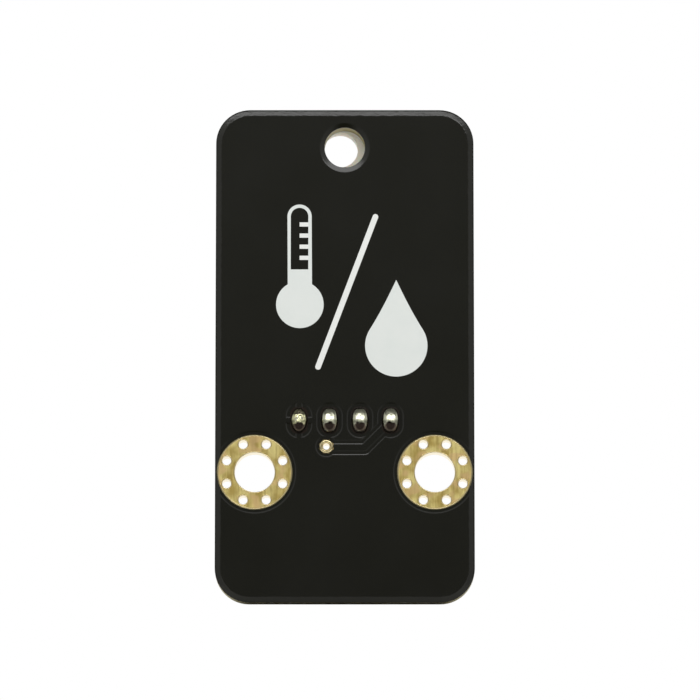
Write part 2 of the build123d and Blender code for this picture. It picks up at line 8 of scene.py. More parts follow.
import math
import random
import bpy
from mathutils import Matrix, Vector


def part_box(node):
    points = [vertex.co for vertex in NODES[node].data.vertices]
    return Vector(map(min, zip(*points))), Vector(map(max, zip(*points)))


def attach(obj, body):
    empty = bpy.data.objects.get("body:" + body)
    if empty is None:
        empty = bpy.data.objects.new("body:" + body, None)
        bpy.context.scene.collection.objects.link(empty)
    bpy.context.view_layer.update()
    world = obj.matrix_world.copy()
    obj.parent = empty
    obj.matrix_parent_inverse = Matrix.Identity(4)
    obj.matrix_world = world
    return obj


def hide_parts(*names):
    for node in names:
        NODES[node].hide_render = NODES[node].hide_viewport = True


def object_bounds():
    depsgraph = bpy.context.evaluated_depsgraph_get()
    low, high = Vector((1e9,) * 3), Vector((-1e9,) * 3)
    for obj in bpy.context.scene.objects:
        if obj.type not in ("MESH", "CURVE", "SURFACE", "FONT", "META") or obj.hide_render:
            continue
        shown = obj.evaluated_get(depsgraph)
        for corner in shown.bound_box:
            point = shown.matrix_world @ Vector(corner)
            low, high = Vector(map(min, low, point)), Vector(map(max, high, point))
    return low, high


bl_info = {
    "name": "Sensor Module Finishes",
    "version": (1, 0, 0),
    "blender": (4, 5, 0),
    "location": "View3D > Sidebar > Sensor Module",
    "description": "Finishes, printing and studio for a small sensor board",
    "category": "Object",
}

from functools import reduce

import bmesh
import bpy
from bpy.props import FloatProperty, FloatVectorProperty, IntProperty, PointerProperty
from mathutils import Matrix, Vector
from mathutils.geometry import interpolate_bezier

MM = 0.001
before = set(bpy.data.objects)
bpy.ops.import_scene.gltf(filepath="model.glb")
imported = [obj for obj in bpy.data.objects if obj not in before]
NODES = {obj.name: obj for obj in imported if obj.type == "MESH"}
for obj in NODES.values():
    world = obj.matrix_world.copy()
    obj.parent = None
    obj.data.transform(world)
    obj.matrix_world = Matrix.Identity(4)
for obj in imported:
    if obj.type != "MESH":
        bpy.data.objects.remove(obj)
CAD_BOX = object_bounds()
BODY = "root"

# Places read from the packed model
BOARD_LOW, BOARD_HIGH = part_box("circuit_board")
LEFT_RING_LOW, LEFT_RING_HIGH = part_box("left_ring_plating")
RIGHT_RING_LOW, RIGHT_RING_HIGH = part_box("right_ring_plating")
VIA_LOW, VIA_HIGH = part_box("power_via_plating")
LANDS_LOW, LANDS_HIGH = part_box("lead_hole_plating")
LEAD_NAMES = ("ground_lead", "spare_lead", "data_lead", "supply_lead")
LEAD_XS = [(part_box(name)[0].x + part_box(name)[1].x) / 2 for name in LEAD_NAMES]
LEAD_ROW_Z = (LANDS_LOW.z + LANDS_HIGH.z) / 2
RING_XS = [(LEFT_RING_LOW.x + LEFT_RING_HIGH.x) / 2, (RIGHT_RING_LOW.x + RIGHT_RING_HIGH.x) / 2]
RING_RADIUS = (LEFT_RING_HIGH.x - LEFT_RING_LOW.x) / 2
VIA_X, VIA_Z = (VIA_LOW.x + VIA_HIGH.x) / 2, (VIA_LOW.z + VIA_HIGH.z) / 2
VIA_RADIUS = (VIA_HIGH.x - VIA_LOW.x) / 2
LAND_RADIUS = (LANDS_HIGH.x - LANDS_LOW.x - (LEAD_XS[-1] - LEAD_XS[0])) / 2
LAND_REACH = (LANDS_HIGH.z - LANDS_LOW.z) / 2 - LAND_RADIUS
COMPONENT_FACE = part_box("component_side_mask")[1].y
CONTACT_PITCH = 2.0 * MM

# Kinds of node that are used often
MATH, VECTOR, RANGE = "ShaderNodeMath", "ShaderNodeVectorMath", "ShaderNodeMapRange"
MIX, COMBINE = "ShaderNodeMix", "ShaderNodeCombineXYZ"
CIRCLE, TRANSFORM = "GeometryNodeCurvePrimitiveCircle", "GeometryNodeTransform"
JOIN, COPIES = "GeometryNodeJoinGeometry", "GeometryNodeInstanceOnPoints"

# Numbers of sides of round lines, and of the spokes and levels of a solder joint
RING_SIDES, BORE_SIDES, SMALL_HOLE_SIDES, BEAD_SIDES = 160, 96, 40, 10
JOINT_SPOKES, JOINT_LEVELS = 72, 24

# Points nearer than this are one point, in a made mesh and in a copy of a CAD piece
TOUCHING, CAD_TOUCHING = 1e-7, 0.002 * MM

# Degrees between neighbours of a moulded piece: up to the first they are one face, and past the
# second their edge is rounded. Edges past a crease are shaded sharp.
FLAT, EDGE, MOULDED_CREASE, SOLDER_CREASE = 0.5, 28, 35, 50

# Exponents of the outline of a joint's foot, across and up, and the shares of a mound's reach
# between which its steep foot gets painted shade
FOOT_EXPONENTS = 2.6, 4
STEEP_START, STEEP_END = 0.8, 0.9

# The floor lies this far under the board and reaches this far to each side
FLOOR_GAP, FLOOR_REACH = 0.1 * MM, 1.5

# Sizes of what the finishes show, in millimetres
LACQUER_CLOUD = 6.0
GLASS_LAYER, GLASS_FIBRE = 0.17, 0.05
GOLD_PATCH, ROSY_PATCH, GOLD_STREAK = 1.1, 1.4, 0.2
INK_MESH, INK_CLOUD, THICK_INK_CLOUD = 0.12, 2.2, 1.2
SOLDER_GRAIN, TIN_GRAIN, JOINT_GRAIN, FLUX_SPECK = 0.35, 0.12, 0.3, 0.18
BODY_CLOUD = 5.0

# Shares of the print's line gap: left of and under the connector, and round a small part
CONNECTOR_GAP, SMALL_PART_GAP = 0.6, 0.8

# Most values of a noise lie between these
SPREAD = 0.3, 0.7


def linear(hex_code):
    """Linear RGBA from an sRGB hex code."""
    values = [int(hex_code[i : i + 2], 16) / 255 for i in (1, 3, 5)]
    return (*[v / 12.92 if v <= 0.04045 else ((v + 0.055) / 1.055) ** 2.4 for v in values], 1.0)


def offset(name, description, millimetres, **limits):
    """A signed place or length whose default is given in millimetres."""
    return FloatProperty(
        name=name,
        description=description,
        default=millimetres * MM,
        precision=5,
        unit="LENGTH",
        **limits,
    )


def length(name, description, millimetres):
    """A length whose default is given in millimetres."""
    return offset(name, description, millimetres, min=0)


def angle(name, description, degrees):
    """An angle whose default is given in degrees."""
    return FloatProperty(
        name=name, description=description, default=math.radians(degrees), subtype="ANGLE"
    )


def colour(name, description, hex_code):
    """A colour whose default is an sRGB hex code."""
    return FloatVectorProperty(
        name=name,
        description=description,
        default=linear(hex_code),
        size=4,
        min=0,
        max=1,
        subtype="COLOR",
    )


def share(name, description, value, top=1.0):
    """A plain number between 0 and a top value."""
    return FloatProperty(
        name=name, description=description, default=value, min=0, max=top, precision=3
    )


def count(name, description, value):
    """A whole number of copies."""
    return IntProperty(name=name, description=description, default=value, min=1)


class SENSOR_PG_lacquer(bpy.types.PropertyGroup):
    """Black solder lacquer and the relief of the foil under it."""

    tint: colour("Tint", "Colour of the lacquer in the mass", "#101006")
    roughness: share("Roughness", "Roughness of the lacquer's skin", 0.16)
    foil_step: length("Foil step", "Height of the foil that shows through the lacquer", 0.0135)
    foil_slope: length("Foil slope", "Width of the slope at an edge of the foil", 0.06)
    edge_step: length("Edge step", "How far the lacquer thins towards the outline", 0.052)
    hole_step: length("Hole step", "How far the lacquer thins towards the bare hole", 0.055)
    foil_gap: length("Foil gap", "Bare strip between two areas of foil", 0.37)
    land_margin: length("Land margin", "Further bare strip round the land of a lead", 0.09)
    land_steepness: share("Land steepness", "Steepness of the foil's edge round a land", 0.6)
    edge_pullback: length("Edge pull-back", "Foil kept back from the outline", 0.42)
    hole_pullback: length("Hole pull-back", "Foil kept back from the bare hole", 0.34)
    edge_round: length("Edge round", "Drop of the lacquer's rounded outermost line", 0.03)
    edge_round_width: length("Edge round width", "Width of that outermost line", 0.1)
    edge_waves: length("Edge waves", "Unevenness of the lacquer's thin border", 0.12)
    edge_wave_size: length("Edge wave size", "Length of those waves along the border", 0.5)
    corner_radius: length("Corner radius", "Radius of the board's corners", 2.85)
    hole_radius: length("Hole radius", "Radius of the bare hole near the top", 1.7)
    hole_z: offset("Hole height", "Height of the bare hole", 27.45)
    track_width: length("Track width", "Width of the supply track", 0.53)
    track_drop: length("Track drop", "How far the track runs below the middle of the via", 0.085)
    spoke_width: length("Spoke width", "Width of the ground land's foil bridges", 0.4)
    peel_size: length("Peel size", "Width of the waves in the lacquer's skin", 0.9)
    peel_depth: length("Peel depth", "Depth of the waves in the lacquer's skin", 0.0012)


class SENSOR_PG_print(bpy.types.PropertyGroup):
    """White screen printing on both faces."""

    ink: colour("Ink", "Colour of the ink over large areas", "#e3e8e4")
    ink_rim: colour("Ink rim", "Colour of the ink where it stands thicker", "#f2f3ef")
    thickness: length("Thickness", "Height of the ink over the lacquer", 0.015)
    tube_x: offset("Tube place", "Middle of the thermometer's tube", -3.791)
    tube_width: length("Tube width", "Outer width of the thermometer's tube", 2.03)
    tube_wall: length("Tube wall", "Width of the line round the tube", 0.28)
    tube_top: offset("Tube top", "Highest point of the thermometer", 22.6)
    fluid_level: offset("Fluid level", "Top of the filled part of the tube", 17.09)
    bulb_x: offset("Bulb place", "Middle of the thermometer's bulb", -3.758)
    bulb_z: offset("Bulb height", "Height of the bulb's middle", 14.116)
    bulb_radius: length("Bulb radius", "Radius of the thermometer's bulb", 1.99)
    tick_count: count("Ticks", "Number of scale marks", 4)
    tick_length: length("Tick length", "Length of a scale mark", 0.73)
    tick_width: length("Tick width", "Thickness of a scale mark", 0.355)
    tick_pitch: length("Tick pitch", "Distance between scale marks", 0.944)
    tick_low: offset("Lowest tick", "Height of the lowest scale mark", 18.074)
    slash_width: length("Slash width", "Width of the slanted stroke", 0.475)
    slash_low_x: offset("Slash low X", "Place of the stroke's lower end", -2.23)
    slash_low_z: offset("Slash low Z", "Height of the stroke's lower end", 8.85)
    slash_high_x: offset("Slash high X", "Place of the stroke's upper end", 2.565)
    slash_high_z: offset("Slash high Z", "Height of the stroke's upper end", 21.555)
    drop_x: offset("Drop place", "Middle of the drop", 4.3)
    drop_z: offset("Drop height", "Middle of the drop's round part", 10.64)
    drop_radius: length("Drop radius", "Radius of the drop's round part", 2.605)
    drop_tip: offset("Drop tip", "Height of the drop's tip", 16.208)
    drop_touch: angle("Drop touch", "Where a flank leaves the round part, from the side", 32)
    drop_flare: share("Drop flare", "Sideways lean of a flank at the tip", 0.47)
    line_width: length("Line width", "Width of the outlines on the component side", 0.18)
    line_gap: length("Line gap", "Gap between such an outline and its part", 0.25)
    framed_from: length("Framed from", "Least height of a framed box over the board's foot", 0.45)


class SENSOR_PG_metal(bpy.types.PropertyGroup):
    """Gilding, solder and tin."""

    gold: colour("Gold", "Clean gold plating", "#fdeb9c")
    gold_dull: colour("Dull gold", "Gold plating with a brown or green cast", "#cfb566")
    gold_rosy: colour("Rosy gold", "Gold plating with a coppery cast", "#f3d093")
    barrel: colour("Barrel", "Bright plating on the wall of a hole", "#f8e6b2")
    rim_bead: length("Rim bead", "Radius of the rounded edges of a ring", 0.05)
    via_bead: length("Via bead", "Radius of the rounded collar of the via", 0.155)
    gold_roughness: share("Gold roughness", "Roughness of the plated lands", 0.36)
    solder: colour("Solder", "Bright solder", "#dedec4")
    tin: colour("Tin", "Tin plating", "#cfcdc6")
    land_foil: length("Land foil", "Thickness of a ring's land on either face", 0.035)
    hole_wall: length("Hole wall", "Thickness of the plating in a hole", 0.09)
    small_hole_radius: length("Small hole radius", "Radius of the small holes in a ring", 0.37)
    small_hole_circle: length("Small hole circle", "Radius of the circle of small holes", 2.52)
    small_hole_count: count("Small holes", "Number of small holes in a ring", 8)
    ring_bore: length("Ring bore", "Radius of a ring's screw hole", 1.665)
    via_bore: length("Via bore", "Radius of the via's hole", 0.275)
    stained_solder: colour("Stained solder", "Solder under a film of flux", "#e4e2b6")
    # The two flux colours are painted shade: brown on each joint's lower side, and darker in a spot
    # there and round its foot.
    painted_shade: colour("Flux", "Brown film of flux on solder", "#665c52")
    painted_deep_shade: colour("Burnt flux", "Thick dark flux in the middle of the film", "#362d29")
    joint_height: length("Joint height", "Height of a solder joint over its skirt", 0.785)
    joint_width: length("Joint width", "Width of a solder joint", 1.5)
    joint_length: length("Joint length", "Upright length of a solder joint", 2.16)
    joint_power: share("Joint power", "Power that rounds a joint's sides; less is fuller", 0.385)
    joint_sag: length("Joint sag", "How far a joint's top lies below the middle of its land", 0.2)
    skirt_width: length("Skirt width", "Width of the thin solder round a joint", 1.5)
    skirt_length: length("Skirt length", "Upright length of that thin solder", 2.26)
    skirt_rise: length("Skirt rise", "Height of the thin solder round a joint", 0.012)
    # The next values place that painted shade: how dark the band round the foot is, the brown oval
    # low on the land, and the darker spot in it.
    foot_shade_depth: share("Rim stain", "How burnt the flux on that thin solder is", 0.7)
    shade_drop: length("Film drop", "Middle of the flux film, down from the land's middle", 0.64)
    shade_half_width: length("Film width", "Half the width of the flux film", 0.58)
    shade_half_height: length("Film height", "Half the height of the flux film", 0.43)
    deep_shade_drop: length("Pool drop", "Middle of the burnt flux, down from the land's middle", 0.5)
    deep_shade_radius: length("Pool radius", "Radius of the burnt flux", 0.4)


class SENSOR_PG_plastic(bpy.types.PropertyGroup):
    """Laminate, mouldings and ceramics."""

    laminate: colour("Laminate", "Glass-fibre laminate", "#b3a878")
    laminate_resin: colour("Laminate resin", "Resin between the glass layers", "#857a45")
    case: colour("Case", "White moulding of the sensor", "#ebe8dc")
    nylon: colour("Nylon", "Natural moulding of the connector", "#e2dcc6")
    inner_board: colour("Inner board", "Green lacquer of the sensor's own board", "#1c5a35")
    ceramic: colour("Ceramic", "Plate of the humidity element", "#e4e2d8")
    epoxy: colour("Epoxy", "Moulded or dipped black epoxy", "#1b1a19")
    capacitor: colour("Capacitor", "Fired body of the capacitor", "#a98c63")
    edge_radius: length("Edge radius", "Rounding of a moulded edge", 0.12)


class SENSOR_PG_studio(bpy.types.PropertyGroup):
    """Camera, lamp, room and floor."""

    distance: length("Distance", "Camera to the board", 470)
    lens: share("Lens", "Focal length in millimetres", 289.5, 1000)
    elevation: angle("Elevation", "Angle of the camera over the board's normal", -8.5)
    aim_x: offset("Aim X", "Point that the camera looks at", 0.435)
    aim_z: offset("Aim Z", "Point that the camera looks at", 10.275)
    box_width: length("Softbox width", "Width of the softbox", 380)
    box_height: length("Softbox height", "Height of the softbox", 150)
    box_distance: length("Softbox distance", "Distance of the softbox from the board", 600)
    box_azimuth: angle("Softbox azimuth", "How far the softbox stands to the right", 4)
    box_elevation: angle("Softbox elevation", "How high the softbox stands", 31.5)
    box_power: share("Softbox power", "Power of the softbox in watts", 0.6, 100)
    fill: share("Fill", "Level of the room's plain light in front", 0.82)
    low_mirror: share("Low mirror level", "Level of the low front of the room in reflections", 0.03)
    high_mirror: share("High mirror level", "Level of the room above that in reflections", 0.42)
    side_mirror: share("Side mirror level", "Level of the pale side panels in reflections", 0.48)
    ceiling: share("Ceiling", "Level of the dark ceiling in reflections", 0.09)
    floor: colour("Floor", "Pale floor", "#e4e4e1")
    floor_reach: length("Floor reach", "Where the floor starts to fade into the backdrop", 32)
    floor_fade: length("Floor fade", "Width of that fade", 25)


def fill(tree, socket, value):
    """Sets a socket to a value, or links it to a socket, a node or each item of a list."""
    for item in value if isinstance(value, list) else [value]:
        if isinstance(item, bpy.types.Node):
            item = next(output for output in item.outputs if output.enabled)
        if isinstance(item, bpy.types.NodeSocket):
            tree.links.new(item, socket)
        else:
            socket.default_value = item


def add_node(tree, kind, *inputs, named=None, **settings):
    """Adds a node with its settings, and fills the inputs that it uses, in order or by name."""
    node = tree.nodes.new(kind)
    for key, value in settings.items():
        setattr(node, key, value)
    for socket, value in zip([socket for socket in node.inputs if socket.enabled], inputs):
        fill(tree, socket, value)
    for name, value in (named or {}).items():
        fill(tree, node.inputs[name], value)
    return node


def combined(tree, operation, *values):
    """Values taken together two by two, such as for their least or greatest."""
    return reduce(lambda a, b: add_node(tree, MATH, a, b, operation=operation), values)


def new_material(name):
    """A material with its tree and a vector of millimetres over the object."""
    material = bpy.data.materials.new(name)
    material.use_nodes = True
    tree = material.node_tree
    place = add_node(tree, "ShaderNodeTexCoord").outputs["Object"]
    return material, tree, add_node(tree, VECTOR, place, 1 / MM, operation="SCALE")


def finish_surface(material, height, step, inputs):
    """Fills inputs of the surface shader and gives it relief; the step is the height of 1."""
    tree = material.node_tree
    bump = add_node(tree, "ShaderNodeBump", named={"Height": height, "Distance": step})
    for name, value in {**inputs, "Normal": bump}.items():
        fill(tree, tree.nodes["Principled BSDF"].inputs[name], value)
    return material


def noise(tree, place, size, stretch=(1, 1, 1), detail=2.0):
    """Noise of a given feature size in millimetres, drawn out along the axes by a stretch."""
    scale = tuple(1 / (size * along) for along in stretch)
    mapped = add_node(tree, "ShaderNodeMapping", place, named={"Scale": scale})
    return add_node(tree, "ShaderNodeTexNoise", mapped, 1.0, detail)


def dress(material, *names):
    """Gives a material to CAD nodes."""
    for name in names:
        slots = NODES[name].data.materials
        slots.clear()
        slots.append(material)


def add_piece(name, mesh, material, slot, *replaced):
    """Makes an object of a finished mesh and fixes it to the frame."""
    mesh.materials.clear()
    mesh.materials.append(material)
    piece = bpy.data.objects.new(name, mesh)
    bpy.context.scene.collection.objects.link(piece)
    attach(piece, BODY)
    if replaced:
        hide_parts(*replaced)


def plain_mesh(data, tree=None, inputs=()):
    """Plain mesh of a curve, or of what a geometry tree makes of its named inputs."""
    holder = bpy.data.objects.new("holder", data)
    bpy.context.scene.collection.objects.link(holder)
    if tree:
        modifier = holder.modifiers.new("tree", "NODES")
        modifier.node_group = tree
        for item in tree.interface.items_tree:
            if item.in_out == "INPUT" and item.name in inputs:
                modifier[item.identifier] = inputs[item.name]
    graph = bpy.context.evaluated_depsgraph_get()
    mesh = bpy.data.meshes.new_from_object(holder.evaluated_get(graph))
    holder.modifiers.clear()
    bpy.data.objects.remove(holder)
    return mesh


def new_geometry_tree(name, inputs):
    """A geometry tree and the sockets of its named inputs."""
    tree = bpy.data.node_groups.new(name, "GeometryNodeTree")
    tree.interface.new_socket("Geometry", in_out="OUTPUT", socket_type="NodeSocketGeometry")
    for input_name, kind in inputs.items():
        tree.interface.new_socket(input_name, in_out="INPUT", socket_type="NodeSocket" + kind)
    source = add_node(tree, "NodeGroupInput")
    return tree, {socket.name: socket for socket in source.outputs if socket.name}


def end_geometry_tree(tree, geometry, material):
    """Ends a geometry tree with real instances and a material."""
    real = add_node(tree, "GeometryNodeRealizeInstances", geometry)
    dressed = add_node(tree, "GeometryNodeSetMaterial", real, named={"Material": material})
    add_node(tree, "NodeGroupOutput", dressed)
    return tree


def smooth_mesh(builder, name, crease):
    """Smooth mesh of a builder, with sharp edges above a crease in degrees."""
    mesh = bpy.data.meshes.new(name)
    builder.to_mesh(mesh)
    builder.free()
    mesh.shade_smooth()
    mesh.set_sharp_from_angle(angle=math.radians(crease))
    return mesh


def rounded_copy(node_name, material, slot, width):
    """Replaces a moulded CAD piece by a copy of its mesh with softly rounded edges."""
    builder = bmesh.new()
    builder.from_mesh(NODES[node_name].data)
    bmesh.ops.remove_doubles(builder, verts=builder.verts, dist=CAD_TOUCHING)
    # Flat neighbours become one face, so that only the moulding's own edges are left
    bmesh.ops.dissolve_limit(
        builder, angle_limit=math.radians(FLAT), verts=builder.verts, edges=builder.edges
    )
    sharp = [
        edge
        for edge in builder.edges
        if len(edge.link_faces) == 2 and edge.calc_face_angle() > math.radians(EDGE)
    ]
    bmesh.ops.bevel(
        builder,
        geom=sharp,
        offset=width,
        segments=2,
        profile=0.5,
        affect="EDGES",
        clamp_overlap=True,
    )
    mesh = smooth_mesh(builder, node_name + "_rounded", MOULDED_CREASE)
    add_piece(node_name + "_moulded", mesh, material, slot, node_name)


def circle_distance(tree, place, x, z, radius):
    """Distance in millimetres out of a circle on the board's face."""
    span = add_node(tree, VECTOR, place, (x / MM, 0, z / MM), operation="DISTANCE")
    return add_node(tree, MATH, span, radius / MM, operation="SUBTRACT")


def stroke_distance(tree, place, start, end, radius):
    """Distance in millimetres out of a round-ended stroke between two points of the face."""
    first = Vector((start[0] / MM, 0, start[1] / MM))
    along = Vector((end[0] / MM, 0, end[1] / MM)) - first
    reach = add_node(tree, VECTOR, place, first, operation="SUBTRACT")
    step = along / along.length_squared
    travel = add_node(tree, VECTOR, reach, step, operation="DOT_PRODUCT")
    held = add_node(tree, "ShaderNodeClamp", travel)
    foot = add_node(tree, VECTOR, along, held, operation="SCALE")
    span = add_node(tree, VECTOR, reach, foot, operation="DISTANCE")
    return add_node(tree, MATH, span, radius / MM, operation="SUBTRACT")


def outline_distance(tree, place, corner):
    """Distance in millimetres out of the board's outline."""
    middle = (BOARD_LOW + BOARD_HIGH) / (2 * MM)
    half = (BOARD_HIGH - BOARD_LOW) / (2 * MM)
    radius = corner / MM
    centred = add_node(tree, VECTOR, place, (middle.x, 0, middle.z), operation="SUBTRACT")
    folded = add_node(tree, VECTOR, centred, operation="ABSOLUTE")
    core = (half.x - radius, 0, half.z - radius)
    past = add_node(tree, VECTOR, folded, core, operation="SUBTRACT")
    outside = add_node(tree, VECTOR, past, (0, 0, 0), operation="MAXIMUM")
    span = add_node(tree, VECTOR, outside, operation="LENGTH")
    return add_node(tree, MATH, span, radius, operation="SUBTRACT")


def foil_relief(tree, place, settings, tracks):
    """Height of the lacquer, 1 over foil and lower in the gaps and towards a bare edge."""
    flat = add_node(tree, VECTOR, place, (1, 0, 1), operation="MULTIPLY")
    lands = [circle_distance(tree, flat, x, 0, RING_RADIUS) for x in RING_XS]
    for x in LEAD_XS:
        low, high = (x, LEAD_ROW_Z - LAND_REACH), (x, LEAD_ROW_Z + LAND_REACH)
        lands.append(stroke_distance(tree, flat, low, high, LAND_RADIUS + settings.land_margin))
    lands.append(circle_distance(tree, flat, VIA_X, VIA_Z, VIA_RADIUS))
    half_track = settings.track_width / 2
    foil = [stroke_distance(tree, flat, start, end, half_track) for start, end in tracks]

    # The poured foil keeps a gap to every track and land
    gap, steepness = settings.foil_gap / MM, settings.land_steepness
    by_track = add_node(tree, MATH, gap, combined(tree, "MINIMUM", *foil), operation="SUBTRACT")
    by_land = add_node(tree, MATH, gap, combined(tree, "MINIMUM", *lands), operation="SUBTRACT")
    by_land = add_node(tree, MATH, by_land, steepness, operation="MULTIPLY")
    foil.append(add_node(tree, MATH, by_track, by_land, operation="MAXIMUM"))

    # Two crossed bridges of foil tie it to the ground land
    reach = LAND_RADIUS + settings.foil_gap
    for across, up in ((reach, 0), (0, reach + LAND_REACH)):
        low = (LEAD_XS[0] - across, LEAD_ROW_Z - up)
        high = (LEAD_XS[0] + across, LEAD_ROW_Z + up)
        spoke = stroke_distance(tree, flat, low, high, settings.spoke_width / 2)
        foil.append(add_node(tree, MATH, spoke, steepness, operation="MULTIPLY"))
    bare = combined(tree, "MINIMUM", *foil)
    falls = [add_node(tree, RANGE, bare, 0, settings.foil_slope / MM)]

    # The lacquer thins towards the outline, which wavers, and towards the bare hole
    waves = noise(tree, flat, settings.edge_wave_size / MM, detail=3.0)
    waves = add_node(tree, RANGE, waves, 0, 1, -0.5, 0.5)
    rim = outline_distance(tree, flat, settings.corner_radius)
    rim = add_node(tree, MATH, waves, settings.edge_waves / MM, rim, operation="MULTIPLY_ADD")
    hole = circle_distance(tree, flat, 0, settings.hole_z, settings.hole_radius)
    hole_rim = add_node(tree, MATH, 0.0, hole, operation="SUBTRACT")
    for distance, pullback, step in (
        (rim, settings.edge_pullback, settings.edge_step),
        (hole_rim, settings.hole_pullback, settings.hole_step),
    ):
        slope_start = -(pullback + settings.foil_slope) / MM
        over_foil = add_node(tree, RANGE, distance, slope_start, -pullback / MM)
        depth = step / settings.foil_step
        beyond = add_node(tree, RANGE, distance, -pullback / MM, 0, 0, depth)
        falls.append(add_node(tree, MATH, over_foil, beyond, operation="ADD"))
    round_start = -settings.edge_round_width / MM
    round_depth = settings.edge_round / settings.foil_step
    rounding = add_node(tree, RANGE, rim, round_start, 0, 0, round_depth)
    fall = combined(tree, "ADD", combined(tree, "MAXIMUM", *falls), rounding)
    return add_node(tree, MATH, 1.0, fall, operation="SUBTRACT")


def lacquer_material(settings, name, tracks):
    """Photo-imaged epoxy lacquer: a dark satin skin that rises and falls with the foil under it."""
    material, tree, place = new_material(name)
    relief = foil_relief(tree, place, settings, tracks)
    peel = noise(tree, place, settings.peel_size / MM)
    peel_share = settings.peel_depth / settings.foil_step
    skin = add_node(tree, MATH, peel, peel_share, relief, operation="MULTIPLY_ADD")
    cloud = noise(tree, place, LACQUER_CLOUD, detail=3.0)
    rough = settings.roughness * 0.9, settings.roughness * 1.15
    inputs = {
        "Base Color": settings.tint,
        "IOR": 1.5,
        "Roughness": add_node(tree, RANGE, cloud, *SPREAD, *rough),
    }
    return finish_surface(material, skin, settings.foil_step, inputs)


class SENSOR_OT_lacquer(bpy.types.Operator):
    """Paint both faces of the board with black lacquer"""

    bl_idname = "sensor_module.lacquer"
    bl_label = "Black Lacquer"

    def execute(self, context):
        settings = context.scene.sensor_lacquer
        # The supply track runs from the via to the last lead, and turns up by half a right angle
        level, end = VIA_Z - settings.track_drop, (LEAD_XS[-1], LEAD_ROW_Z - settings.track_drop)
        bend = (end[0] - (end[1] - level), level)
        supply_track = [((VIA_X, level), bend), (bend, end)]
        dress(lacquer_material(settings, "black_solder_lacquer", supply_track), "solder_side_mask")
        # The data track runs from the third lead to a contact of the plug
        data_bend = (CONTACT_PITCH, LEAD_ROW_Z - (CONTACT_PITCH - LEAD_XS[2]))
        contact = (CONTACT_PITCH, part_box("connector_contacts")[1].z)
        data_track = [(contact, data_bend), (data_bend, (LEAD_XS[2], LEAD_ROW_Z))]
        rear = lacquer_material(settings, "black_solder_lacquer_rear", data_track)
        dress(rear, "component_side_mask")
        return {"FINISHED"}


def laminate_material(settings):
    """Glass-fibre laminate, sawn: olive resin with paler lines where the glass layers are cut."""
    material, tree, place = new_material("sawn_glass_laminate")
    layers = noise(tree, place, GLASS_LAYER, (9, 1, 9), 3.0)
    layers = add_node(tree, RANGE, layers, 0.35, 0.65)
    colours = settings.laminate_resin, settings.laminate
    inputs = {
        "Base Color": add_node(tree, MIX, layers, *colours, data_type="RGBA"),
        "IOR": 1.52,
        "Roughness": 0.55,
    }
    fibres = noise(tree, place, GLASS_FIBRE, (4, 1, 4))
    return finish_surface(material, fibres, 0.01 * MM, inputs)


class SENSOR_OT_laminate(bpy.types.Operator):
    """Finish the sawn laminate"""

    bl_idname = "sensor_module.laminate"
    bl_label = "Laminate"

    def execute(self, context):
        dress(laminate_material(context.scene.sensor_plastic), "circuit_board")
        return {"FINISHED"}


def gold_material(settings):
    """Immersion gold over nickel: satin, with brown and coppery casts and fine drawn lines."""
    material, tree, place = new_material("immersion_gold")
    patches = noise(tree, place, GOLD_PATCH, (1, 1, 1.3), 3.0)
    streaks = noise(tree, place, GOLD_STREAK, (1, 1, 9))
    cast = add_node(tree, MATH, patches, 0.75, operation="MULTIPLY")
    cast = add_node(tree, MATH, streaks, 0.25, cast, operation="MULTIPLY_ADD")
    cast = add_node(tree, RANGE, cast, 0.4, 0.6)
    tint = add_node(tree, MIX, cast, settings.gold_dull, settings.gold, data_type="RGBA")
    rosy = noise(tree, place, ROSY_PATCH, (1, 2, 0.8), 1.0)
    rosy = add_node(tree, RANGE, rosy, 0.5, 0.62, 0, 0.75)
    rough = settings.gold_roughness * 0.85, settings.gold_roughness * 1.2
    inputs = {
        "Base Color": add_node(tree, MIX, rosy, tint, settings.gold_rosy, data_type="RGBA"),
        "Metallic": 1.0,
        "Roughness": add_node(tree, RANGE, streaks, *SPREAD, *rough),
    }
    return finish_surface(material, streaks, 0.004 * MM, inputs)


def barrel_material(settings):
    """Plated copper in a drilled hole: smooth, so that it flashes where it turns to the light."""
    material, tree, place = new_material("bright_hole_plating")
    inputs = {"Base Color": settings.barrel, "Metallic": 1.0, "Roughness": 0.12}
    return finish_surface(material, noise(tree, place, GOLD_STREAK), 0.002 * MM, inputs)


